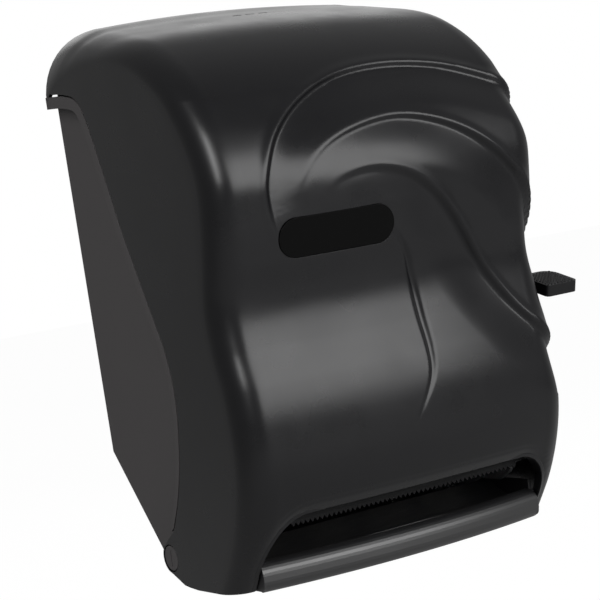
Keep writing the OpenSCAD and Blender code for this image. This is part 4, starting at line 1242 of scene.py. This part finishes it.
@dataclass
class BarEnds:
    """Thin plates that close the two ends of the hook-shaped front bar.

    Attributes:
        paints: The finishes.
        outside: Outer face of a plate, from the middle.
        thick: Thickness of a plate.
        front: Distance of the bar's front from the wall at its ends.
        back: Distance of its open back edge.
        crest: Height of the bar's crest.
        crest_r: Radius of the crest.
        foot_r: Radius of the lower edge.
    """

    paints: Paints
    outside: float = 123.9
    thick: float = 1.3
    front: float = 183.6
    back: float = 163.6
    crest: float = 20.4
    crest_r: float = 9.3
    foot_r: float = 5.5

    def outline(self) -> List[Point2]:
        """Outline of a plate in side view.

        Returns:
            Points of distance, negative in front of the wall, and height.
        """
        crest = arc((-self.front + self.crest_r, self.crest - 9.5), self.crest_r, 70, 180, 12)
        foot = arc((-self.front + self.foot_r, 5.8), self.foot_r, 180, 270, 8)
        return [(-self.back, 0.3), (-self.back, self.crest - 2.2), *crest, *foot]

    def build(self) -> None:
        """Builds both plates as one piece of the housing."""
        inside = self.outside - self.thick
        parts = [prism(self.outline(), side_plane(side, inside), (0.0, self.thick)) for side in (-1, 1)]
        plates = mesh_object("bar_end_plates", joined(parts), 30.0)
        self.paints.dress(plates, Slot.BAR)
        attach(plates, Body.HOUSING.value)
        LOG.info("bar_end_plates: %d plates", len(parts))


# ------------ CAD pieces


@dataclass
class Hardware:
    """Finishes for the pieces that are shown as the CAD made them.

    Attributes:
        paints: The finishes.
    """

    BLADE = "tear_bar"
    # Painted shade: the tear bar's steel is painted near black and not metallic, so that it sinks into the
    # dark slot.
    BLADE_PAINTED_SHADE = SheetMetal("blade_painted_shade", (0.004, 0.004, 0.0045), 0.6, metallic=0.0, specular=0.15)

    paints: Paints

    def build(self) -> None:
        """Paints every CAD node with the finish of its slot in the record, and the tear bar near black as
        painted shade.
        """
        slots = {p["node"]: p["material_slot"] for p in frame["record"]["subparts"]}
        for name, obj in sorted(frame["nodes"].items()):
            self.paints.dress(obj, Slot(slots[name]))
            # The tear bar takes painted shade in place of its steel.
            if name == self.BLADE:
                obj.data.materials[0] = self.BLADE_PAINTED_SHADE.build()
            LOG.info("%s: %s", name, slots[name])


# ------------ stage


@dataclass(frozen=True)
class Lamp:
    """One soft box.

    Attributes:
        name: Name of the lamp.
        at: Place in metres.
        aim: Point that it faces.
        size: Width and height in metres.
        watts: Power.
    """

    name: str
    at: Point3
    aim: Point3
    size: Point2
    watts: float

    def build(self) -> None:
        """Adds the lamp to the scene."""
        data = bpy.data.lights.new(self.name, "AREA")
        data.shape = "RECTANGLE"
        data.size, data.size_y = self.size
        data.energy = self.watts
        obj = bpy.data.objects.new(self.name, data)
        obj.location = self.at
        obj.rotation_euler = (Vector(self.aim) - Vector(self.at)).to_track_quat("-Z", "Y").to_euler()
        bpy.context.scene.collection.objects.link(obj)


@dataclass(frozen=True)
class PhotoCamera:
    """The photograph's camera, as calibrated.

    Attributes:
        bearing: Degrees to the left of the front.
        rise: Degrees above level.
        roll: Roll in degrees.
        target: Point that it faces, in metres.
        distance: Distance to that point, in metres.
        focal: Focal length in pixels.
        pixels: Width of the photograph in pixels.
        sensor: Width of the sensor in millimetres.
    """

    bearing: float = 32.11
    rise: float = 3.62
    roll: float = 8.83
    target: Point3 = (-0.0131, -0.110, (190.8 - SCREW_MID_Z) * MM)
    distance: float = 1.5376
    focal: float = 2052.1
    pixels: float = 600.0
    sensor: float = 36.0

    def build(self) -> None:
        """Adds the camera and looks through it."""
        bearing, rise, roll = (math.radians(v) for v in (self.bearing, self.rise, self.roll))
        level = Vector((-math.sin(bearing), -math.cos(bearing), 0.0))
        right = Vector((math.cos(bearing), -math.sin(bearing), 0.0))
        back = level * math.cos(rise) + Vector((0.0, 0.0, math.sin(rise)))
        up = back.cross(right)
        x = right * math.cos(roll) - up * math.sin(roll)
        y = right * math.sin(roll) + up * math.cos(roll)
        data = bpy.data.cameras.new("photo_camera")
        data.sensor_width = self.sensor
        data.lens = self.focal * self.sensor / self.pixels
        data.clip_start, data.clip_end = 0.05, 20.0
        cam = bpy.data.objects.new("photo_camera", data)
        turn = Matrix((x, y, back)).transposed().to_4x4()
        cam.matrix_world = Matrix.Translation(Vector(self.target) + back * self.distance) @ turn
        bpy.context.scene.collection.objects.link(cam)
        bpy.context.scene.camera = cam


class Studio:
    """Floor, world, lamps and camera."""

    LAMPS = (
        Lamp("key_front", (0.37, -1.66, 0.50), (0.0, -0.15, 0.0), (1.8, 1.1), 33.0),
        Lamp("left_strip", (-1.15, -1.05, 0.80), (0.0, -0.1, 0.0), (0.3, 1.0), 14.0),
        Lamp("back_soft", (0.85, 1.36, 0.65), (0.0, -0.1, 0.1), (1.2, 0.8), 2.5),
    )
    # Share of the white background that glossy rays see, and light from all round.
    GLOSSY_SHARE = 0.25
    AMBIENT = 0.12
    # Half the floor's side and its depth under the cover, below the reach of the open cover, in metres.
    FLOOR_HALF = 6.0
    FLOOR_DROP = 0.19
    FLOOR_GREY = 0.4
    # Strength of the floor's white, and its share over the shadow.
    FLOOR_WHITE = 1.18
    WHITE_SHARE = 0.82

    @staticmethod
    def background_rays(tree: bpy.types.NodeTree) -> Socket:
        """Rays that see the plain background: camera, glossy and transmission rays.

        Args:
            tree: Node tree to work in.

        Returns:
            Socket that is 1 for a camera ray and GLOSSY_SHARE for a glossy one.
        """
        path = tree.nodes.new("ShaderNodeLightPath")
        value = path.outputs["Is Camera Ray"]
        for name, share in (("Is Glossy Ray", Studio.GLOSSY_SHARE), ("Is Transmission Ray", 1.0)):
            part = tree.nodes.new("ShaderNodeMath")
            part.operation = "MULTIPLY"
            part.inputs[1].default_value = share
            tree.links.new(path.outputs[name], part.inputs[0])
            either = tree.nodes.new("ShaderNodeMath")
            either.operation = "MAXIMUM"
            tree.links.new(value, either.inputs[0])
            tree.links.new(part.outputs[0], either.inputs[1])
            value = either.outputs[0]
        return value

    def floor(self) -> None:
        """A plain pale floor that keeps the shadow."""
        mesh = bpy.data.meshes.new("floor")
        r, z = self.FLOOR_HALF, -SCREW_MID_Z * MM - self.FLOOR_DROP
        mesh.from_pydata([(-r, -r, z), (r, -r, z), (r, r, z), (-r, r, z)], [], [(0, 1, 2, 3)])
        floor = bpy.data.objects.new("floor", mesh)
        bpy.context.scene.collection.objects.link(floor)
        n = Nodes("floor_white")
        n.shader.inputs["Base Color"].default_value = (*[self.FLOOR_GREY] * 3, 1.0)
        n.roughness(n.noise(scale=40.0, detail=2.0, rough=0.5), 0.86, 0.94)
        glow = n.add("ShaderNodeEmission", Strength=self.FLOOR_WHITE)
        seen = n.add("ShaderNodeMath")
        seen.operation = "MULTIPLY"
        seen.inputs[1].default_value = self.WHITE_SHARE
        n.link(self.background_rays(n.tree), seen.inputs[0])
        both = n.add("ShaderNodeMixShader")
        n.link(seen.outputs[0], both.inputs[0])
        n.link(n.shader.outputs["BSDF"], both.inputs[1])
        n.link(glow.outputs["Emission"], both.inputs[2])
        n.link(both.outputs[0], n.out.inputs["Surface"])
        mesh.materials.append(n.material)

    def world(self) -> None:
        """White for the camera, softer for the object."""
        world = bpy.data.worlds.new("studio")
        bpy.context.scene.world = world
        world.use_nodes = True
        tree = world.node_tree
        tree.nodes.clear()
        both = tree.nodes.new("ShaderNodeMixShader")
        tree.links.new(self.background_rays(tree), both.inputs[0])
        for place, strength in ((1, self.AMBIENT), (2, 1.0)):
            sky = tree.nodes.new("ShaderNodeBackground")
            sky.inputs["Color"].default_value = (1.0, 1.0, 1.0, 1.0)
            sky.inputs["Strength"].default_value = strength
            tree.links.new(sky.outputs[0], both.inputs[place])
        out = tree.nodes.new("ShaderNodeOutputWorld")
        tree.links.new(both.outputs[0], out.inputs["Surface"])

    def build(self) -> None:
        """Builds the whole stage."""
        self.floor()
        self.world()
        for lamp in self.LAMPS:
            lamp.build()
        PhotoCamera().build()
        bpy.context.scene.view_settings.view_transform = "Standard"


def main() -> None:
    """Builds the dispenser's looks and the stage round it."""
    logging.basicConfig(level=logging.INFO, format="%(name)s: %(message)s")
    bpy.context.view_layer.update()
    paints = Paints()
    Hardware(paints).build()
    Cover(CoverShape(), paints).build()
    LeverGrip(paints).build()
    BarEnds(paints).build()
    Studio().build()


if __name__ == "__main__":
    main()
